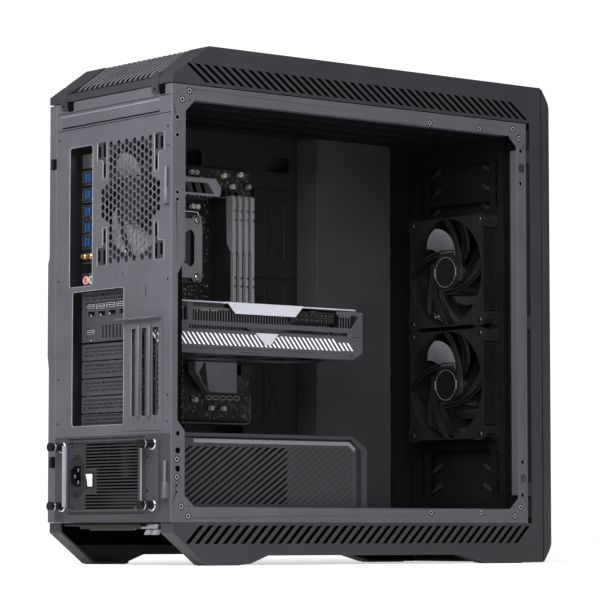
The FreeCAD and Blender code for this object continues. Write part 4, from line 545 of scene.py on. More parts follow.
def rotor(name, body, centre, axis, hub, tip, count, depth, sweep, chord, blade_mat, hub_low, hub_high,
          ring=False, start=0, highlight_blades=()):
    """Fan rotor with curved, twisted blades around a capped hub, in place of the node named like its body; the blades
    given by number are drawn in a lighter colour as a painted highlight.
    """
    piece = Piece(name, body).use(blade_mat)
    first, second = (AXES["x"], AXES["z"]) if axis == "y" else (AXES["x"], AXES["y"])
    along = AXES[axis]
    centre = Vector(centre)
    steps_r, steps_c = 10, 8
    row, total = steps_c + 1, (steps_r + 1) * (steps_c + 1)
    faces = []
    for i in range(steps_r):
        for j in range(steps_c):
            a = i * row + j
            faces.append([a, a + 1, a + row + 1, a + row])
            faces.append([total + a + row, total + a + row + 1, total + a + 1, total + a])
    edge = (list(range(row)) + [i * row + row - 1 for i in range(1, steps_r + 1)]
            + [steps_r * row + j for j in range(row - 2, -1, -1)] + [i * row for i in range(steps_r - 1, 0, -1)])
    for a, b in zip(edge, edge[1:] + edge[:1]):
        faces.append([a, a + total, b + total, b])
    for blade in range(count):
        # Blades given by number in the lighter colour: a painted highlight.
        piece.use(BLADE_HIGHLIGHT if blade in highlight_blades else blade_mat)
        upper, lower = [], []
        for i in range(steps_r + 1):
            part = i / steps_r
            radius = hub - 0.6 + (tip - hub + 0.6) * part
            spread = chord * (0.72 + 0.42 * math.sin(math.pi * (0.18 + 0.6 * part))) / radius
            middle = start + math.tau * blade / count + sweep * part * part
            rise = depth * (1 - 0.3 * part)
            for j in range(steps_c + 1):
                across = j / steps_c - 0.5
                arch = math.sin(math.pi * j / steps_c)
                angle = middle + spread * across
                height = rise * across + 2.6 * arch * (0.4 + 0.6 * part)
                spot = centre + first * math.cos(angle) * radius + second * math.sin(angle) * radius
                half = 0.35 + 0.5 * arch
                upper.append(spot + along * (height + half))
                lower.append(spot + along * (height - half))
        piece.shell(upper + lower, faces)
    piece.use(HOUSING_PLASTIC)
    piece.lathe(centre, axis, [(1.2, hub_low), (hub - 2, hub_low), (hub, hub_low + 2), (hub, hub_high - 1.5),
                               (hub - 1.5, hub_high), (1.2, hub_high)], 48)
    if ring:
        piece.washer(centre, axis, tip - 1.4, tip, -depth * 0.3, depth * 0.34, 64)
    piece.done(smooth=50, replaces=(body,), slot="fan_black")


# ---- the tower's frame and shells
HALF_WIDTH = 121.6
HALF_DEPTH = 270.5
TOP_HEIGHT = 586.6
SLOPE_START = 219
SLOPE = (TOP_HEIGHT - 549.5) / (271 - SLOPE_START)
LID_FRONT = -239.5
RIB_PITCH = 10
RIB_COUNT = 16


def roof_height(y, drop):
    """Height of the lid's top surface at y, lowered by drop."""
    ridge = SLOPE_START - drop * 0.32
    return TOP_HEIGHT - drop - max(0, y - ridge) * SLOPE


def make_top_lid():
    """Vented lid: rounded ribs that run over the ridge and turn down at the rear edge; the rib caps are lightened as a
    painted highlight and the webs between them are painted shade.
    """
    piece = Piece("top_lid_ribs", "top_lid").use(RIB_COAT_WITH_HIGHLIGHT)
    path = [LID_FRONT, -160, -80, 0, 80, 160, 210, 215, 218.4, 221, 224, 232, 246, 258,
            262.6, 264.8]
    rib = ((RIB_COAT_WITH_HIGHLIGHT, [(-2.4, -1.3), (-2.3, -0.7), (-1.5, 0), (1.5, 0), (2.3, -0.7), (2.4, -1.3)]),
           (PAINTED_SHADE, [(-2.3, -3), (-2.3, -1.3), (2.3, -1.3), (2.3, -3)]))
    for index in range(RIB_COUNT):
        x = (index - (RIB_COUNT - 1) / 2) * RIB_PITCH
        for material, section in rib:
            points = []
            for y in path:
                sink = 0.34 * (y - 258) ** 1.35 if y > 258 else 0
                points += [(x + a, y, roof_height(y, 0.3) + b - sink) for a, b in section]
            piece.use(material).shell(points, capped(len(path), len(section)))
    piece.use(SHELL_COAT)
    for side in (-1, 1):
        rail = [(LID_FRONT, roof_height(LID_FRONT, 0)), (SLOPE_START, TOP_HEIGHT), (267, roof_height(267, 0)),
                (268, roof_height(268, 1.2)), (268, 551.4), (262, 551.4), (SLOPE_START - 2, TOP_HEIGHT - 6),
                (LID_FRONT, TOP_HEIGHT - 6)]
        piece.prism("x", *sorted((side * 83.6, side * 97.6)), rail)
        strap = [(267.4, 556), (270, 554), (272.2, 550.4), (272.2, 534), (271.4, 534), (271.4, 549.6),
                 (267.4, 551)]
        width = sorted((side * 84.2, side * 96.8))
        piece.prism("x", *width, strap).slab("y", 271.35, 272.35, width, (530.2, 546), 5.2)
        piece.use(GLOSS_BLACK).rod((side * 90.5, 272.36, 536), "y", 1.9, 0.03, 16).use(SHELL_COAT)
    for y in (-239, -160, -80, 0, 80, 160):
        piece.use(BLACK_COAT).slab("y", y, y + 6, (-84, 84), (581, 584), 1)
    piece.use(BLACK_COAT).slab("y", 258, 264, (-84, 84), (550, 552.6), 0.8)
    piece.done(bevel=0.25, smooth=40, replaces=("top_grille",), slot="shell_coat")

    # sheet of painted shade and fine black lattice under the lid, seen between the ribs
    mesh = Piece("top_lid_mesh", "top_lid").use(PAINTED_SHADE)
    front, ridge, rear = LID_FRONT + 1, SLOPE_START - 1.5, 264
    sheet = [(front, roof_height(LID_FRONT, 3.1)), (ridge, TOP_HEIGHT - 3.1), (rear, roof_height(rear, 4.6)),
             (rear, roof_height(rear, 5.4)), (ridge, TOP_HEIGHT - 4), (front, roof_height(LID_FRONT, 4))]
    mesh.prism("x", -83.4, 83.4, sheet)
    for side in (-1, 1):
        near = side * 90.5 - 6.4
        # Painted shade in the strap recesses.
        mesh.use(PAINTED_SHADE).slab("y", 267, 270.95, (near - 11.5, near - 0.1), (529, 549), 1)
    mesh.use(BLACK_PLASTIC)
    for x in range(-84, 85, 4):
        mesh.prism("x", x - 0.5, x + 0.5, [(LID_FRONT + 2, 578.6), (210, 578.6), (262, 549.9), (262, 549.2),
                                           (209, 577.4), (LID_FRONT + 2, 577.4)])
    for y in range(-236, 212, 5):
        mesh.prism("y", y - 0.9, y + 0.9, [(-84, 577.2), (84, 577.2), (84, 578.2), (-84, 578.2)])
    mesh.done()


def make_band_liners():
    """Woven liners behind the slanted slots of the top shell and the skirts, sheet and threads in near-black painted
    shade.
    """
    piece = Piece("band_liners").use(PAINTED_SHADE)
    out, y0, y1, lean = 118.9, -277, 262, 9
    for side in (-1, 1):
        for z0, z1, upper in ((543, 566.6, True), (22.6, 46.6, False)):
            threads = sorted((side * (out - 0.7), side * out))
            sheet = sorted((side * (out - 3.4), side * (out - 2.8)))
            short, long = y1 - 22, y1
            ends = (long, short) if upper else (short, long)
            piece.prism("x", *sheet, [(y0, z0), (ends[0], z0), (ends[1], z1), (y0, z1)])
            y = y0 + lean + 1
            while y < y1 - 34:
                for run in (lean, -lean) if upper else (-lean, lean):
                    piece.prism("x", *threads, lean_bar(y, z0 + 0.6, z1 - 0.6, 0.8, run))
                y += 4.2
    piece.done()


FAN_X = -11.4
FAN_HEIGHTS = (361.5, 220.4)
FAN_SCREW = 62.5
REAR_FAN_X, REAR_FAN_Z = -41.2, 415


def make_fan_surrounds():
    """Diamond mesh on the fans' sides, grooved corner pads, label rings and straps on the hubs."""
    piece = Piece("fan_trim").use(HOUSING_PLASTIC)
    rear, front = -235.4, -260.4
    y0, y1 = front + 4.6, rear - 2.6
    rise = y1 - y0
    for z in FAN_HEIGHTS:
        low, high = z - 49, z + 49
        for edge, side in ((-81.2, -1), (58.4, 1)):
            skin = sorted((edge + side * 0.1, edge - side * 0.5))
            start = low
            while start < high + rise:
                for ends in ((start - rise, start), (start, start - rise)):
                    points = clip_bar(y0, y1, *ends, low, high, 0.55)
                    if points:
                        piece.prism("x", *skin, points)
                start += 3.3
            sheet = sorted((edge - side * 1.6, edge - side * 2))
            piece.use(GLOSS_BLACK).box(sheet, (y0, y1), (low, high)).use(HOUSING_PLASTIC)
            for strip in (low - 1.4, high + 0.2):
                piece.slab("x", *skin, (y0 - 1, y1 + 1), (strip, strip + 1.2), 0.4)
            for pad in (z - 62, z + 52):
                piece.use(HOUSING_PLASTIC).slab("x", *skin, (y0 + 0.4, y1 - 0.4), (pad, pad + 10), 1.5)
                groove = (skin[0] - 0.12, skin[1] - 0.3 if side < 0 else skin[1] + 0.12)
                piece.use(DARK_METAL).slab("x", *groove, (y0 + 5, y1 - 5), (pad + 4.2, pad + 5.6), 0.5)
            piece.use(HOUSING_PLASTIC)
        hub = (FAN_X, rear - 0.1, z)
        piece.use(GLOSS_BLACK).lathe(hub, "y", [(0.8, 0), (22.4, 0), (22.4, 0.35), (0.8, 0.5)], 64)
        piece.use(MID_GREY).washer(hub, "y", 18.5, 19, 0.4, 0.62, 64)
        for side in (-1, 1):
            clip = sorted((FAN_X + side * 18.8, FAN_X + side * 20.4))
            piece.slab("y", rear + 0.3, rear + 0.62, clip, (z - 5.4, z + 5.4), 0.5)
        for sx in (-1, 1):
            for sz in (-1, 1):
                x, height = FAN_X + sx * FAN_SCREW, z + sz * FAN_SCREW
                piece.use(DARK_METAL).lathe((x, rear - 0.8, height), "y",
                                            [(0.6, 0), (3.4, 0), (3.4, 0.8), (2.6, 1.4), (0.6, 1.4)], 24)
                piece.use(GLOSS_BLACK)
                for a, b in ((0.35, 1.9), (1.9, 0.35)):
                    piece.slab("y", rear + 0.6, rear + 0.66, (x - a, x + a), (height - b, height + b), 0.3)
                pad_x, pad_z = sorted((x + sx * 4.4, x + sx * 7.2)), sorted((height - sz * 10, height - sz * 3))
                piece.use(HOUSING_PLASTIC).slab("y", rear - 0.1, rear + 0.5, pad_x, pad_z, 0.8)
    piece.done()


def clip_bar(y0, y1, z_a, z_b, low, high, width):
    """Slanted strip from (y0, z_a) to (y1, z_b), clipped to a height range."""
    def clipped(y, z):
        level = min(max(z, low), high)
        return (y if level == z else y0 + (level - z_a) * (y1 - y0) / (z_b - z_a)), level
    if max(z_a, z_b) <= low or min(z_a, z_b) >= high:
        return None
    (ya, za), (yb, zb) = clipped(y0, z_a), clipped(y1, z_b)
    if abs(za - zb) < 0.8:
        return None
    return [(ya, za - width), (yb, zb - width), (yb, zb + width), (ya, za + width)]


def make_rotors():
    # The last entry of each row gives the blades drawn as a painted highlight.
    for name, body, centre, highlight_blades in (("blades_upper", "front_fan_upper", (FAN_X, -249.4, FAN_HEIGHTS[0]), (1,)),
                                     ("blades_lower", "front_fan_lower", (FAN_X, -249.4, FAN_HEIGHTS[1]), (1,)),
                                     ("blades_rear", "rear_fan", (REAR_FAN_X, 255.1, REAR_FAN_Z), (1, 5, 6))):
        rotor(name, body, centre, "y", 22, 64.6, 7, 13.5, -0.42, 36, SMOKED, -9.6, 9.4, start=0.34, highlight_blades=highlight_blades)
    for place_name, y in (("rear", 198), ("middle", 103), ("front", 8)):
        name, body = "card_blades_" + place_name, "card_fan_" + place_name
        rotor(name, body, (0, y, 250.4), "z", 14, 41.6, 11, 8, 0.5, 15, GLOSS_BLACK, -6.6, 7, ring=True)
    rotor("supply_blades", "psu_fan", (5, 190, 71.5), "z", 18, 57.6, 9, 11, 0.45, 24, GLOSS_BLACK, -8.6, 8.6)


def make_rear_details():
    """Pockets and seams of the rear panel in painted shade with painted highlight rims, and the folded beam's painted
    highlight line over a painted shade line.
    """
    face = HALF_DEPTH
    piece = Piece("rear_pockets")
    rims = Piece("rear_pocket_rims").use(PAINTED_HIGHLIGHT)
    pocket = ((46.6, 28.1), (54, 28.1), (54, 48.2), (56.4, 50.4), (65, 50.4), (65, 72), (46.6, 72))
    for side in (-1, 1):
        for up in (-1, 1):
            def spot(a, b):
                return REAR_FAN_X + side * a, REAR_FAN_Z + up * b
            shape = [spot(*corner) for corner in pocket]
            # Pocket floors in a coat darker than the panel: painted shade in the recess.
            piece.use(COVER_COAT).prism("y", face - 0.36, face - 0.3, shape)
            piece.use(PAINTED_SHADE)
            for near, far, start, end in ((48.6, 52.2, 31, 46), (48.6, 52.8, 53.4, 70), (58.2, 62.8, 53.4, 67)):
                (a0, b0), (a1, b1) = spot(near, start), spot(far, end)
                piece.slab("y", face - 0.29, face - 0.22, sorted((a0, a1)), sorted((b0, b1)), 1.6)
            rims.rim("y", face - 0.2, shape, 0.34)
    piece.use(PAINTED_SHADE)
    for seam in (507.4, 527.5, 147.4):
        piece.box((-118.6, 105.6), (face - 0.45, face - 0.2), (seam - 0.5, seam + 0.5))
    piece.done()
    # Light line along the beam's top edge as a painted highlight, and a painted shade line beneath it.
    rims.tube([(-99, face + 1.15, 523.4), (96, face + 1.15, 523.4)], 0.42, 8)
    rims.use(PAINTED_SHADE).box((-98, 95), (face + 0.02, face + 0.5), (509.6, 511.2))
    rims.use(PAINTED_HIGHLIGHT)
    for low, high, left, right in ((321.6, 485.3, 33.2, 79.8), (159.5, 315.8, -29.8, 73.2),
                                   (166.2, 268.3, -99.3, -44.7)):
        rims.rim("y", face - 0.05, rounded((left, right), (low, high), 3.6), 0.3)
    rims.done()


def make_card_sockets():
    """Display sockets and small screws on the card's rear bracket with painted shade in the sockets' mouths and screw
    holes, and holes in the rear post drawn as painted shade discs with painted highlight rims.
    """
    piece = Piece("card_sockets")
    face = 260.2
    for x, z, wide, high in ((50, 298.6, 12, 4.4), (31, 298.2, 15, 4.8), (11, 298.6, 15, 4.8),
                             (-8, 298.6, 12, 4.4), (50, 268.6, 12, 4.4)):
        mouth = rounded((x - wide / 2, x + wide / 2), (z - high / 2, z + high / 2), 1)
        piece.use(PAINTED_SHADE).prism("y", face - 0.5, face + 0.1, mouth)
        piece.use(SOLDER).rim("y", face + 0.1, mouth, 0.45)
        piece.box((x - wide / 2 + 2, x + wide / 2 - 2), (face, face + 0.4), (z - 0.6, z + 0.6))
    for x, z in ((50, 288), (31, 288), (13, 288.6), (50, 259)):
        piece.use(PAINTED_SHADE).rod((x, face - 0.4, z), "y", 2.6, 0.5, 20)
        piece.use(SOLDER).rod((x - 0.8, face + 0.1, z), "y", 1.5, 0.3, 16)
    piece.done()

    holes = Piece("post_holes")
    for y, z, radius in ((263.3, 501.7, 2.5), (263.2, 481.6, 2.5), (263, 416.9, 2.3), (263, 409, 2.3)):
        spot = (-HALF_WIDTH + 0.3, y, z)
        holes.use(PAINTED_SHADE).disc(spot, "x", radius, -0.33, 24)
        holes.use(PAINTED_HIGHLIGHT).washer(spot, "x", radius, radius + 0.4, 0, -0.33, 24)
    holes.done()


def make_front_screen():
    """Fine dark filter screen in the front, with slanted bars of the cover's slots before it."""
    screen = Piece("front_screen").use(BLACK_PLASTIC)
    screen.box((-96, 96), (-275.6, -275.2), (62, 528))
    for x in range(-94, 95, 3):
        screen.box((x - 0.3, x + 0.3), (-275.2, -274.9), (62, 528))
    for z in range(64, 528, 3):
        screen.box((-96, 96), (-275, -274.7), (z - 0.3, z + 0.3))
    screen.use(MID_BLACK)
    for side in (-1, 1):
        for row in range(18):
            low = 66 + row * 25
            points = [(side * a, low + b) for a, b in ((94, 0), (94, 5), (40, 33), (40, 28))]
            screen.prism("y", -274.6, -272.4, points)
    screen.done(bevel=0, replaces=("front_dust_filter",), slot="black_plastic")

    # Near-black painted shade sheets behind the holes of the rear and front posts.
    backing = Piece("post_backing").use(PAINTED_SHADE)
    backing.box((-118.4, -117.8), (254, 268.6), (66, 522))
    backing.box((-118.4, -117.8), (-268, -257), (66, 522))
    backing.done()


# ---- main board
BOARD_X = 76.2
PORT_FACE = 255


def make_rear_ports():
    """Row of sockets along the board's rear edge."""
    piece = Piece("port_row").use(PORT_STEEL)
    piece.slab("y", 226, PORT_FACE, (46, BOARD_X), (462.2, 478.6), 0.8)
    piece.use(DARK_METAL)
    for x in range(50, 74, 3):
        piece.slab("y", PORT_FACE - 0.05, PORT_FACE + 0.02, (x, x + 1.2), (474, 475.4), 0.4)
    for low in (444.8, 424.6, 404.4, 386.4, 369.6):
        high = low + 14.4
        piece.use(PORT_STEEL)
        for x_range in ((47.4, 48.4), (61.2, 62.4), (75.2, 76.2)):
            piece.box(x_range, (232, PORT_FACE), (low, high))
        for z_range in ((low, low + 1), (high - 1, high)):
            piece.box((48.4, 75.2), (232, PORT_FACE), z_range)
        piece.use(GLOSS_BLACK).box((48.4, 75.2), (240.4, 241), (low + 1, high - 1))
        piece.use(BLUE)
        for middle in (54.9, 68.7):
            piece.box((middle + 0.2, middle + 4), (240.9, PORT_FACE - 0.7), (low + 1.8, high - 1.8))
            piece.box((middle - 5.4, middle - 3.2), (240.9, PORT_FACE - 0.9), (low + 2.2, high - 2.2))
        piece.use(PORT_STEEL)
        for middle in (54.9, 68.7):
            for z in (low + 4.4, low + 9.4):
                piece.prism("z", z - 0.5, z + 0.5, [(middle - 3.2, 242), (middle - 3.2, PORT_FACE),
                                                    (middle - 2.2, PORT_FACE - 1), (middle - 2.2, 242)])
    piece.use(PORT_STEEL)
    for z in (442.2, 422, 402, 383.6, 367, 350.2, 337.2):
        piece.prism("z", z, z + 1.2, [(46.6, 232), (46.6, PORT_FACE + 0.4), (76, PORT_FACE + 0.4), (76, 232)])
    piece.use(CONNECTOR).box((47.4, BOARD_X), (232, PORT_FACE - 1), (351.8, 366))
    thread = [(4.6, 0), (4.6, 1.6), (3.5, 1.8), (3.5, 2.6), (3.1, 2.9), (3.5, 3.3), (3.1, 3.7), (3.5, 4.1),
              (3.1, 4.5), (3.5, 4.9), (3.1, 5.3), (3.4, 5.8), (3.2, 7), (1.7, 7), (1.6, 1)]
    for x in (57, 69):
        piece.use(GOLD)
        piece.lathe((x, PORT_FACE - 1, 358.6), "y", thread)
        piece.use(WHITE_PLASTIC).rod((x, PORT_FACE - 1, 358.6), "y", 1.55, 5, 16)
    piece.use(GLOSS_BLACK).slab("y", 236, PORT_FACE - 0.6, (52, BOARD_X), (338.6, 349.6), 1)
    piece.use(CONNECTOR).box((47.4, BOARD_X), (236, PORT_FACE - 1.6), (324.8, 336.8))
    for x, colour in ((57.6, GREEN), (69.2, PINK)):
        piece.use(colour).lathe((x, PORT_FACE - 1.6, 330.6), "y",
                                [(5.4, 0), (5.4, 1.4), (4.8, 2.2), (3, 2.2), (2.4, 1.6), (2, 0.2)])
        piece.use(PORT_STEEL).lathe((x, PORT_FACE - 1.4, 330.6), "y",
                                    [(2.1, 0), (2.1, 1.9), (1.6, 2), (1.6, 0.2)], 24)
    piece.done(bevel=0.12, replaces=("rear_ports",), slot="port_metal")


def make_board_heatsinks():
    """Regulator coolers along the top and rear edges, and the chipset's plate."""
    piece = Piece("regulator_coolers").use(SILVER)
    outer = [(226, 439.6), (226, 460.2), (82.8, 460.4), (74.6, 450.2), (76.1, 439.4)]
    inner = [(212, 442), (212, 454.4), (94.6, 454.8), (84.6, 442)]
    x_near, x_far = 44.8, 50
    bars = [[outer[0], outer[1], inner[1], inner[0]], [outer[1], outer[2], inner[2], inner[1]],
            [outer[2], outer[3], outer[4], inner[3], inner[2]], [outer[4], outer[0], inner[0], inner[3]]]
    for bar in bars:
        piece.prism("x", x_near, x_far, bar)
    piece.use(DARK_METAL)
    for k in range(10):
        y = 88 + k * 13
        piece.prism("x", 46, 70, lean_bar(y, 441.6, 455, 8.4, 5))
    piece.box((64, 75.2), (80, 225), (437, 461.8))
    piece.use(FIN_METAL)
    for k in range(22):
        piece.box((50, 70), (84 + k * 6.4, 85.6 + k * 6.4), (437.6, 441.4))
    piece.use(SILVER)
    for k in range(8):
        y = 187 + k * 4.2
        piece.prism("y", y, y + 1.6, [(42, 341), (42, 410), (48, 429), (70.2, 429), (70.2, 341)])
    piece.use(DARK_METAL).box((70, 75.2), (186, 220), (340, 430))
    piece.use(BRIGHT_STEEL)
    for z in (352, 372, 392, 412):
        piece.prism("x", 40.8, 42, lean_bar(188, z, z + 8, 6, 16))
    plate_outline = [(38.6, 205), (79.3, 205), (100.5, 228.6), (100.5, 241.4), (38.6, 241.4)]
    piece.use(CHIPSET_COAT).prism("x", 60, 75, plate_outline)
    piece.use(GLOSS_BLACK).prism("x", 59.9, 60.2, [(81.4, 205.6), (84.4, 205.6), (96, 228), (88, 241),
                                                   (86, 241)])
    piece.use(DARK_METAL).prism("x", 59.7, 60.2, [(84.4, 205.6), (103, 228.4), (103, 241.4), (100.4, 241.4),
                                                  (100.4, 229.4), (81.6, 207.4)])
    piece.done(bevel=0.35, replaces=("board_heatsinks",), slot="dark_aluminium")


def make_socket_bracket():
    """Bright clamping frame around the processor's dark cap, with ringed corner screws."""
    piece = Piece("socket_frame", "load_plate").use(STICK_FACE)
    quarter = [(86.5, 377.5), (86.5, 405), (88.5, 417.3), (99, 417.3), (102, 413.4), (128, 413.4),
               (128, 396), (113, 396), (110, 396.4), (107.2, 399), (103.4, 399.6), (100, 397.4),
               (98.2, 393.4), (98.2, 388), (98.2, 377.5)]
    for mirror_y, mirror_z in ((False, False), (True, False), (False, True), (True, True)):
        shape = [(256 - y if mirror_y else y, 755 - z if mirror_z else z) for y, z in quarter]
        piece.prism("x", 66.2, 67.6, shape if mirror_y == mirror_z else shape[::-1])
    piece.done(bevel=0.3, replaces=("socket_load_plate",), slot="socket_steel")

    screws = Piece("socket_screws")
    for y in (94.3, 161.7):
        for z in (412.1, 342.9):
            screws.use(GLOSS_BLACK).disc((66.15, y, z), "x", 4.9, -0.2, core=0.4)
            screws.use(BRIGHT_STEEL).lathe((65.95, y, z), "x", [(3.9, 0), (3.9, -1.4), (3.3, -1.9), (2.4, -1.9),
                                                                (2.2, -0.4), (2.2, 0), (3.9, 0)])
            screws.disc((65.95, y, z), "x", 1.2, -1.5, 16)
    screws.done()

    lever = Piece("socket_arm", "socket_lever").use(BRIGHT_STEEL)
    arm = ((114, 422), (96, 422), (92, 421.2), (90.4, 418), (90.3, 400), (90.3, 372), (89.6, 366),
           (89.6, 352), (90.3, 342), (90.3, 336.6))
    lever.tube([(68.6, y, z) for y, z in arm], 1.05)
    lever.done(replaces=("socket_lever",), slot="socket_steel")


STICKS = (63, 53.7, 44.4, 35.1)      # where the four memory modules stand along the board
SEED = 41


def make_memory():
    """Four modules: light spreaders with notched fronts, a light plate on the lit +y side as a painted highlight, and a
    darker board edge between their sheets.
    """
    front = [(33, 439), (33, 424.6), (35.2, 422.8), (33, 421), (33, 413.6), (35.2, 411.8), (33, 410),
             (33, 343.4), (35.2, 341.6), (33, 339.8),
             (33, 333.2), (35.2, 331.4), (33, 329.6), (33, 313)]
    spreader = [(69, 313), (69, 439.6), (39.6, 439.6), (37.8, 425), (37.8, 388), (33.6, 384.4), (33.6, 373.6),
                (37.8, 370), (37.8, 315), (39.4, 313)]
    piece = Piece("memory_sticks")
    for y in STICKS:
        piece.use(STICK_FACE)
        profile = [(69.3, 311), (69.3, 441), (35, 441)] + front + [(35, 311)]
        piece.prism("y", y - 2.1, y + 2.1, profile)
        piece.use(STICK_SIDE)
        for side in (-1, 1):
            sheet = sorted((y + side * 2.1, y + side * 2.7))
            piece.prism("y", *sheet, spreader)
        # Light plate on the +y side only: a painted highlight on the lit side of each module.
        piece.use(STICK_FACE)
        piece.prism("y", y + 2.1, y + 3.4, [(32.8, 441), (46, 441), (44.6, 384), (36, 372), (32.8, 371)])
        piece.use(PCB).box((69.2, 74), (y - 0.6, y + 0.6), (309.5, 442.8))
    piece.done(bevel=0.25, replaces=("memory_modules",), slot="silver_spreader")


def scatter_board():
    """Small chips, capacitors, chokes and connectors soldered all over the board."""
    draw = random.Random(SEED)
    piece = Piece("board_parts")
    taken = [(86, 170, 334, 423), (28, 70, 300, 452), (78, 228, 434, 463),
             (184, 222, 338, 432), (36, 104, 203, 243), (129, 223, 292, 303),
             (129, 223, 249, 259), (129, 223, 229, 239), (129, 223, 188, 199),
             (194, 223, 208, 219), (224, 251, 320, 480), (6, 28, 378, 434),
             (6, 28, 226, 264), (174, 202, 464, 477)]

    def free(y0, y1, z0, z1):
        if y0 < 8 or y1 > 249 or z0 < 173.5 or z1 > 476:
            return False
        return all(y1 < a or y0 > b or z1 < c or z0 > d for a, b, c, d in taken)

    def block(material, height, y_range, z_range):
        piece.use(material).box((BOARD_X - height, BOARD_X), y_range, z_range)

    def chip(y, z):
        w, h, t = draw.uniform(4, 9), draw.uniform(4, 9), draw.uniform(0.8, 1.4)
        if free(y, y + w, z, z + h):
            block(CONNECTOR, t, (y, y + w), (z, z + h))
            for k in range(int(h / 1.6)):
                leg = z + 0.7 + k * 1.6
                block(SOLDER, 0.3, (y - 0.7, y + w + 0.7), (leg, leg + 0.4))
            taken.append((y - 0.8, y + w + 0.8, z, z + h))

    def choke(y, z):
        if free(y, y + 8, z, z + 8):
            piece.use(HOUSING_PLASTIC).slab("x", BOARD_X - 5.6, BOARD_X, (y, y + 8), (z, z + 8), 1.2)
            taken.append((y, y + 8, z, z + 8))

    def can(y, z):
        if free(y - 3.2, y + 3.2, z - 3.2, z + 3.2):
            piece.use(GLOSS_BLACK).rod((BOARD_X, y, z), "x", 3.3, -0.8, 20)
            piece.use(WHITE_PLASTIC if draw.random() < 0.45 else SOLDER)
            piece.lathe((BOARD_X - 0.8, y, z), "x", [(3, 0), (3, -5.6), (2.6, -6.2), (0.3, -6.2)], 24)
            taken.append((y - 3.4, y + 3.4, z - 3.4, z + 3.4))

    def header(y, z):
        count = draw.randint(3, 8)
        if free(y, y + 2.5 * count, z, z + 5):
            block(CONNECTOR, 2.4, (y, y + 2.5 * count), (z, z + 5))
            piece.use(GOLD)
            for pin in (y + 1 + 2.5 * k for k in range(count)):
                for foot in (z + 1, z + 3.5):
                    piece.box((BOARD_X - 8, BOARD_X - 2.4), (pin, pin + 0.6), (foot, foot + 0.6))
            taken.append((y, y + 2.5 * count, z, z + 5))

    def tiny(y, z):
        upright = draw.random() < 0.5
        w, h = (1, 2) if upright else (2, 1)
        if free(y, y + w, z, z + h):
            block(MILKY if draw.random() < 0.5 else HOUSING_PLASTIC, 0.7, (y, y + w), (z, z + h))
            for end in ((-0.3, 0.35), (1.65, 2.3)):
                a, b = ((-0.05, 1.05), end) if upright else (end, (-0.05, 1.05))
                block(SOLDER, 0.75, (y + a[0], y + a[1]), (z + b[0], z + b[1]))
            taken.append((y - 0.3, y + w + 0.3, z - 0.3, z + h + 0.3))

    for y, z in ((98.8, 470.2), (91.5, 470.2), (97.2, 429.1), (89.6, 428.9), (36.4, 456.6), (24.3, 472.4),
                 (92.3, 195.9), (67.8, 186.4), (49.3, 186.3), (112, 429), (120, 429)):
        piece.use(GLOSS_BLACK).rod((BOARD_X, y, z), "x", 3.4, -0.7, 20)
        piece.use(WHITE_PLASTIC).lathe((BOARD_X - 0.7, y, z), "x",
                                       [(3.1, 0), (3.1, -5.4), (2.6, -6), (0.3, -6)], 28)
        piece.use(MID_GREY).slab("x", BOARD_X - 6.78, BOARD_X - 6.7, (y - 0.4, y + 2.4), (z - 0.5, z + 0.5), 0.3)
        taken.append((y - 3.6, y + 3.6, z - 3.6, z + 3.6))
    for y in (25 + k * 10.6 for k in range(5)):
        piece.use(SOLDER).slab("x", BOARD_X - 4.2, BOARD_X, (y, y + 9), (196.6, 202), 2.5)
        piece.use(GLOSS_BLACK).slab("x", BOARD_X - 4.3, BOARD_X - 4.1, (y + 1.2, y + 7.8), (197.8, 200.8), 1.4)
        taken.append((y, y + 9, 196, 202.6))
    for put, amount in ((chip, 46), (choke, 26), (can, 22), (header, 26), (tiny, 2400)):
        for _ in range(amount):
            put(draw.uniform(8, 246), draw.uniform(174, 474))
    piece.use(CONNECTOR)
    for z in (381.4 + 4.2 * k for k in range(12)):
        for y in (8.8, 15.2):
            piece.box((65.4, 66.1), (y, y + 5), (z, z + 3.4))
    piece.use(HOUSING_PLASTIC)
    for z in (303.6, 446.4):
        for y in STICKS:
            piece.prism("y", y - 2.2, y + 2.2, [(61.6, z - 2.6), (61.6, z + 2.2), (69.6, z + 3), (69.6, z - 3)])
    piece.done()


# ---- graphics card
CARD_SIDE = -62


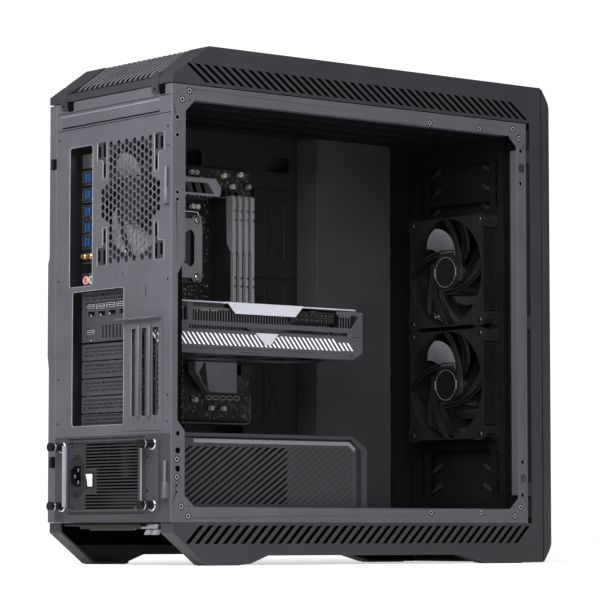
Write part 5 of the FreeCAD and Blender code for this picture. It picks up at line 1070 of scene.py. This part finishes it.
def make_card_lights():
    """Slanted light bars set in the card's grooved side, and the plate that splits them."""
    piece = Piece("card_light_bars").use(LIGHT_BARS)
    for k in range(45):
        y = -42.7 + 6.5 * k
        low, high = 252.4, 266.2
        if y < -24:
            low, high = 253, 262.4
        elif 59.2 < y < 91.6:
            high = min(high, 255 + max(78.1 - y, 0.4) / 1.69)
        if high - low > 1.5:
            piece.prism("x", CARD_SIDE - 0.06, CARD_SIDE + 0.74, lean_bar(y, low, high, 2.6, 0.8 * (high - low)))
    piece.use(WING_SILVER).prism("x", CARD_SIDE - 0.1, CARD_SIDE + 0.6,
                                 [(105.4, 268.7), (91.2, 255.4), (82.8, 255.2), (70.7, 268.6)])
    piece.done(bevel=0.15)

    trim = Piece("card_side_trim").use(CARD_PLASTIC)
    trim.prism("x", CARD_SIDE - 0.05, CARD_SIDE + 0.4, [(-17.6, 299.3), (-56.9, 299.3), (-56.9, 297.4), (-17.6, 297.4)])
    trim.use(COVER_COAT).prism("x", CARD_SIDE - 0.06, CARD_SIDE + 0.3,
                               [(110, 269.8), (120, 274.5), (62.4, 274.5), (70.8, 269.8)])
    trim.use(CONNECTOR)
    for k in range(8):
        for row in range(2):
            y, z = -14.4 + 7.4 * k, 285.6 + 6 * row
            trim.use(GLOSS_BLACK).box((-57.6, -57), (y + 0.3, y + 4.3), (z + 0.3, z + 3.9))
            trim.use(PORT_STEEL).rod((-57.9, y + 2.3, z + 2.1), "x", 0.7, 1.2, 10)
    trim.use(HOUSING_PLASTIC).slab("x", -60.6, -58.4, (14, 22), (294, 298.4), 0.8)
    trim.prism("x", -61.6, -57, [(47.2, 283.6), (51.6, 283.6), (51.6, 297), (47.2, 297)])
    trim.use(CARD_PLASTIC).slab("x", -61.8, -58, (196.6, 203.4), (279.8, 301), 0.8)
    trim.use(DARK_METAL).prism("x", -61, -57.2, [(150, 296), (246, 296), (246, 301.2), (152, 301.2)])
    trim.use(BRIGHT_STEEL)
    for y in (160, 176, 214, 232):
        trim.slab("x", -61.4, -58, (y, y + 8), (291.4, 293.2), 0.5)
    trim.done(bevel=0.2)


# ---- power supply and base
def make_supply_details():
    """Pins of the inlet, folded rims of the bracket with a painted highlight on their edges and painted shade in their
    holes, collars of the thumb screws and the filter's latch.
    """
    piece = Piece("supply_trim")
    rear = HALF_DEPTH - 0.2
    middle = 102
    inlet_x = 63.3
    piece.use(GLOSS_BLACK)
    for z in (middle - 20.6, middle + 20.6):
        piece.lathe((inlet_x, rear + 1.02, z), "y", [(1.8, 0), (3, 0), (3, 0.7), (1.8, 0.2), (1.8, 0)], 24)
    piece.use(BRIGHT_STEEL)
    for x, z in ((inlet_x - 1, middle - 7), (inlet_x - 1, middle + 7), (inlet_x + 5.6, middle)):
        piece.slab("y", rear - 12, rear - 1.6, (x - 1, x + 1), (z - 2.2, z + 2.2), 0.6)
    piece.done(bevel=0.15)

    folds = Piece("bracket_folds").use(PAINTED_HIGHLIGHT)
    for x in (81.8, -73.6):
        folds.slab("z", 66.4, 137.6, (x - 0.7, x + 0.9), (HALF_DEPTH + 1.5, HALF_DEPTH + 6.8), 0.5)
    folds.use(STEEL_DARK_AND_SHADED)
    for x_range, z_range in (((-99.5, -75), (63, 141)), ((83, 95), (70.8, 133))):
        folds.slab("y", HALF_DEPTH + 1.42, HALF_DEPTH + 1.9, x_range, z_range, 1.5)
    folds.use(PAINTED_SHADE)
    for z in (84, 122):
        folds.rod((-79, HALF_DEPTH + 1.86, z), "y", 1.5, 0.1, 16)
        folds.rod((87.5, HALF_DEPTH + 1.86, z), "y", 1.2, 0.1, 16)
    folds.done(bevel=0.2)

    chrome = Piece("thumb_screw_collars").use(BRIGHT_STEEL)
    for x, z in ((-88.5, 136), (89.5, 136), (-88.5, 67.6), (89.5, 67.6)):
        base = HALF_DEPTH + 1.45
        chrome.lathe((x, base, z), "y", [(5.7, 0), (6.6, 0.1), (6.9, 0.9), (6.4, 1.8), (5.7, 2), (5.7, 0)], 40)
        chrome.lathe((x, base + 11.6, z), "y", [(5.05, 0), (5.2, 0.3), (5.2, 1.6), (5.05, 1.9), (5.05, 0)], 40)
    chrome.done()

    latch = Piece("filter_latches", "bottom_filter").use(DARK_METAL)
    latch.slab("y", 262.6, 264.6, (-56, 98), (44.4, 46.2), 0.5)
    latch.use(COVER_COAT).slab("y", 263.6, 266.8, (-42, 40), (39.6, 46), 0.8)
    latch.use(STICK_FACE)
    latch.slab("y", 264, 266.4, (-46.6, -44.6), (40.2, 46), 0.5)
    latch.prism("y", 264.2, 266.6, [(-52, 43), (-58, 41.4), (-90, 41.4), (-92, 46.2), (-74, 46.2),
                                    (-70, 43.8)])
    for x in (-70, -84):
        latch.prism("y", 262, 266.9, [(x, 40.4), (x - 8.4, 40.4), (x - 4, 34.6), (x + 4.4, 34.6)])
    latch.use(WHITE_PLASTIC).rod((-88.6, 266.2, 45.2), "y", 1.2, 0.6, 16)
    latch.done(bevel=0.3)


def make_screw_rings():
    """Painted highlight rings, and painted shade in the recesses and sockets, of the frame's countersunk screws."""
    piece = Piece("screw_rims")
    face = -HALF_WIDTH
    spots = [(246.5, 532.9), (256.4, 522.4), (-248.6, 531.4), (-258.8, 520.8), (-113.2, 527.4), (-193.7, 527.2)]
    mirror = 48.7 + 539.7
    spots = spots + [(y, mirror - z) for y, z in spots] + [(262.4, 118.5), (262.4, 98.7)]
    for y, z in spots:
        spot = (face + 0.35, y, z)
        piece.use(GLOSS_BLACK).lathe(spot, "x", [(2.9, 0), (4.2, 0), (4.2, -0.37), (3.9, -0.37), (2.9, 0)])
        piece.use(PAINTED_HIGHLIGHT).lathe(spot, "x", [(1.7, 0), (2.9, 0), (2.7, -0.3), (1.8, -0.3), (1.7, 0)])
        piece.use(GLOSS_BLACK).disc(spot, "x", 1.7, -0.1, 6)
    piece.done()


def make_inside_trim():
    """Board edge guard, embossed panels of the tray and rails beside the cable cover."""
    piece = Piece("tray_trim").use(TRAY_EDGE)
    path = ((3, 205), (3, 176), (3.6, 172.4), (6, 169.6), (10, 168.6), (150, 168.6))
    piece.tube([(80, y, z) for y, z in path], 1, 10)
    piece.use(PRESS_LINE)
    for low, high in ((373, 440), (275, 340), (173, 243)):
        piece.rim("x", 82.9, rounded((-52, -21), (low - 1.5, high + 1.5), 4), 0.5)
    piece.use(TRAY_COAT)
    for z in (258, 356, 452):
        piece.slab("x", 80.8, 84.2, (-66, -4), (z - 6, z + 6), 1.6)
    piece.done(bevel=0.2)


for make in (dress_cad_nodes, make_top_lid, make_band_liners, make_fan_surrounds, make_rotors, make_rear_ports,
             make_board_heatsinks, make_socket_bracket, make_memory, scatter_board, make_card_lights,
             make_supply_details, make_screw_rings, make_inside_trim, make_rear_details, make_card_sockets,
             make_front_screen, make_stage):
    make()
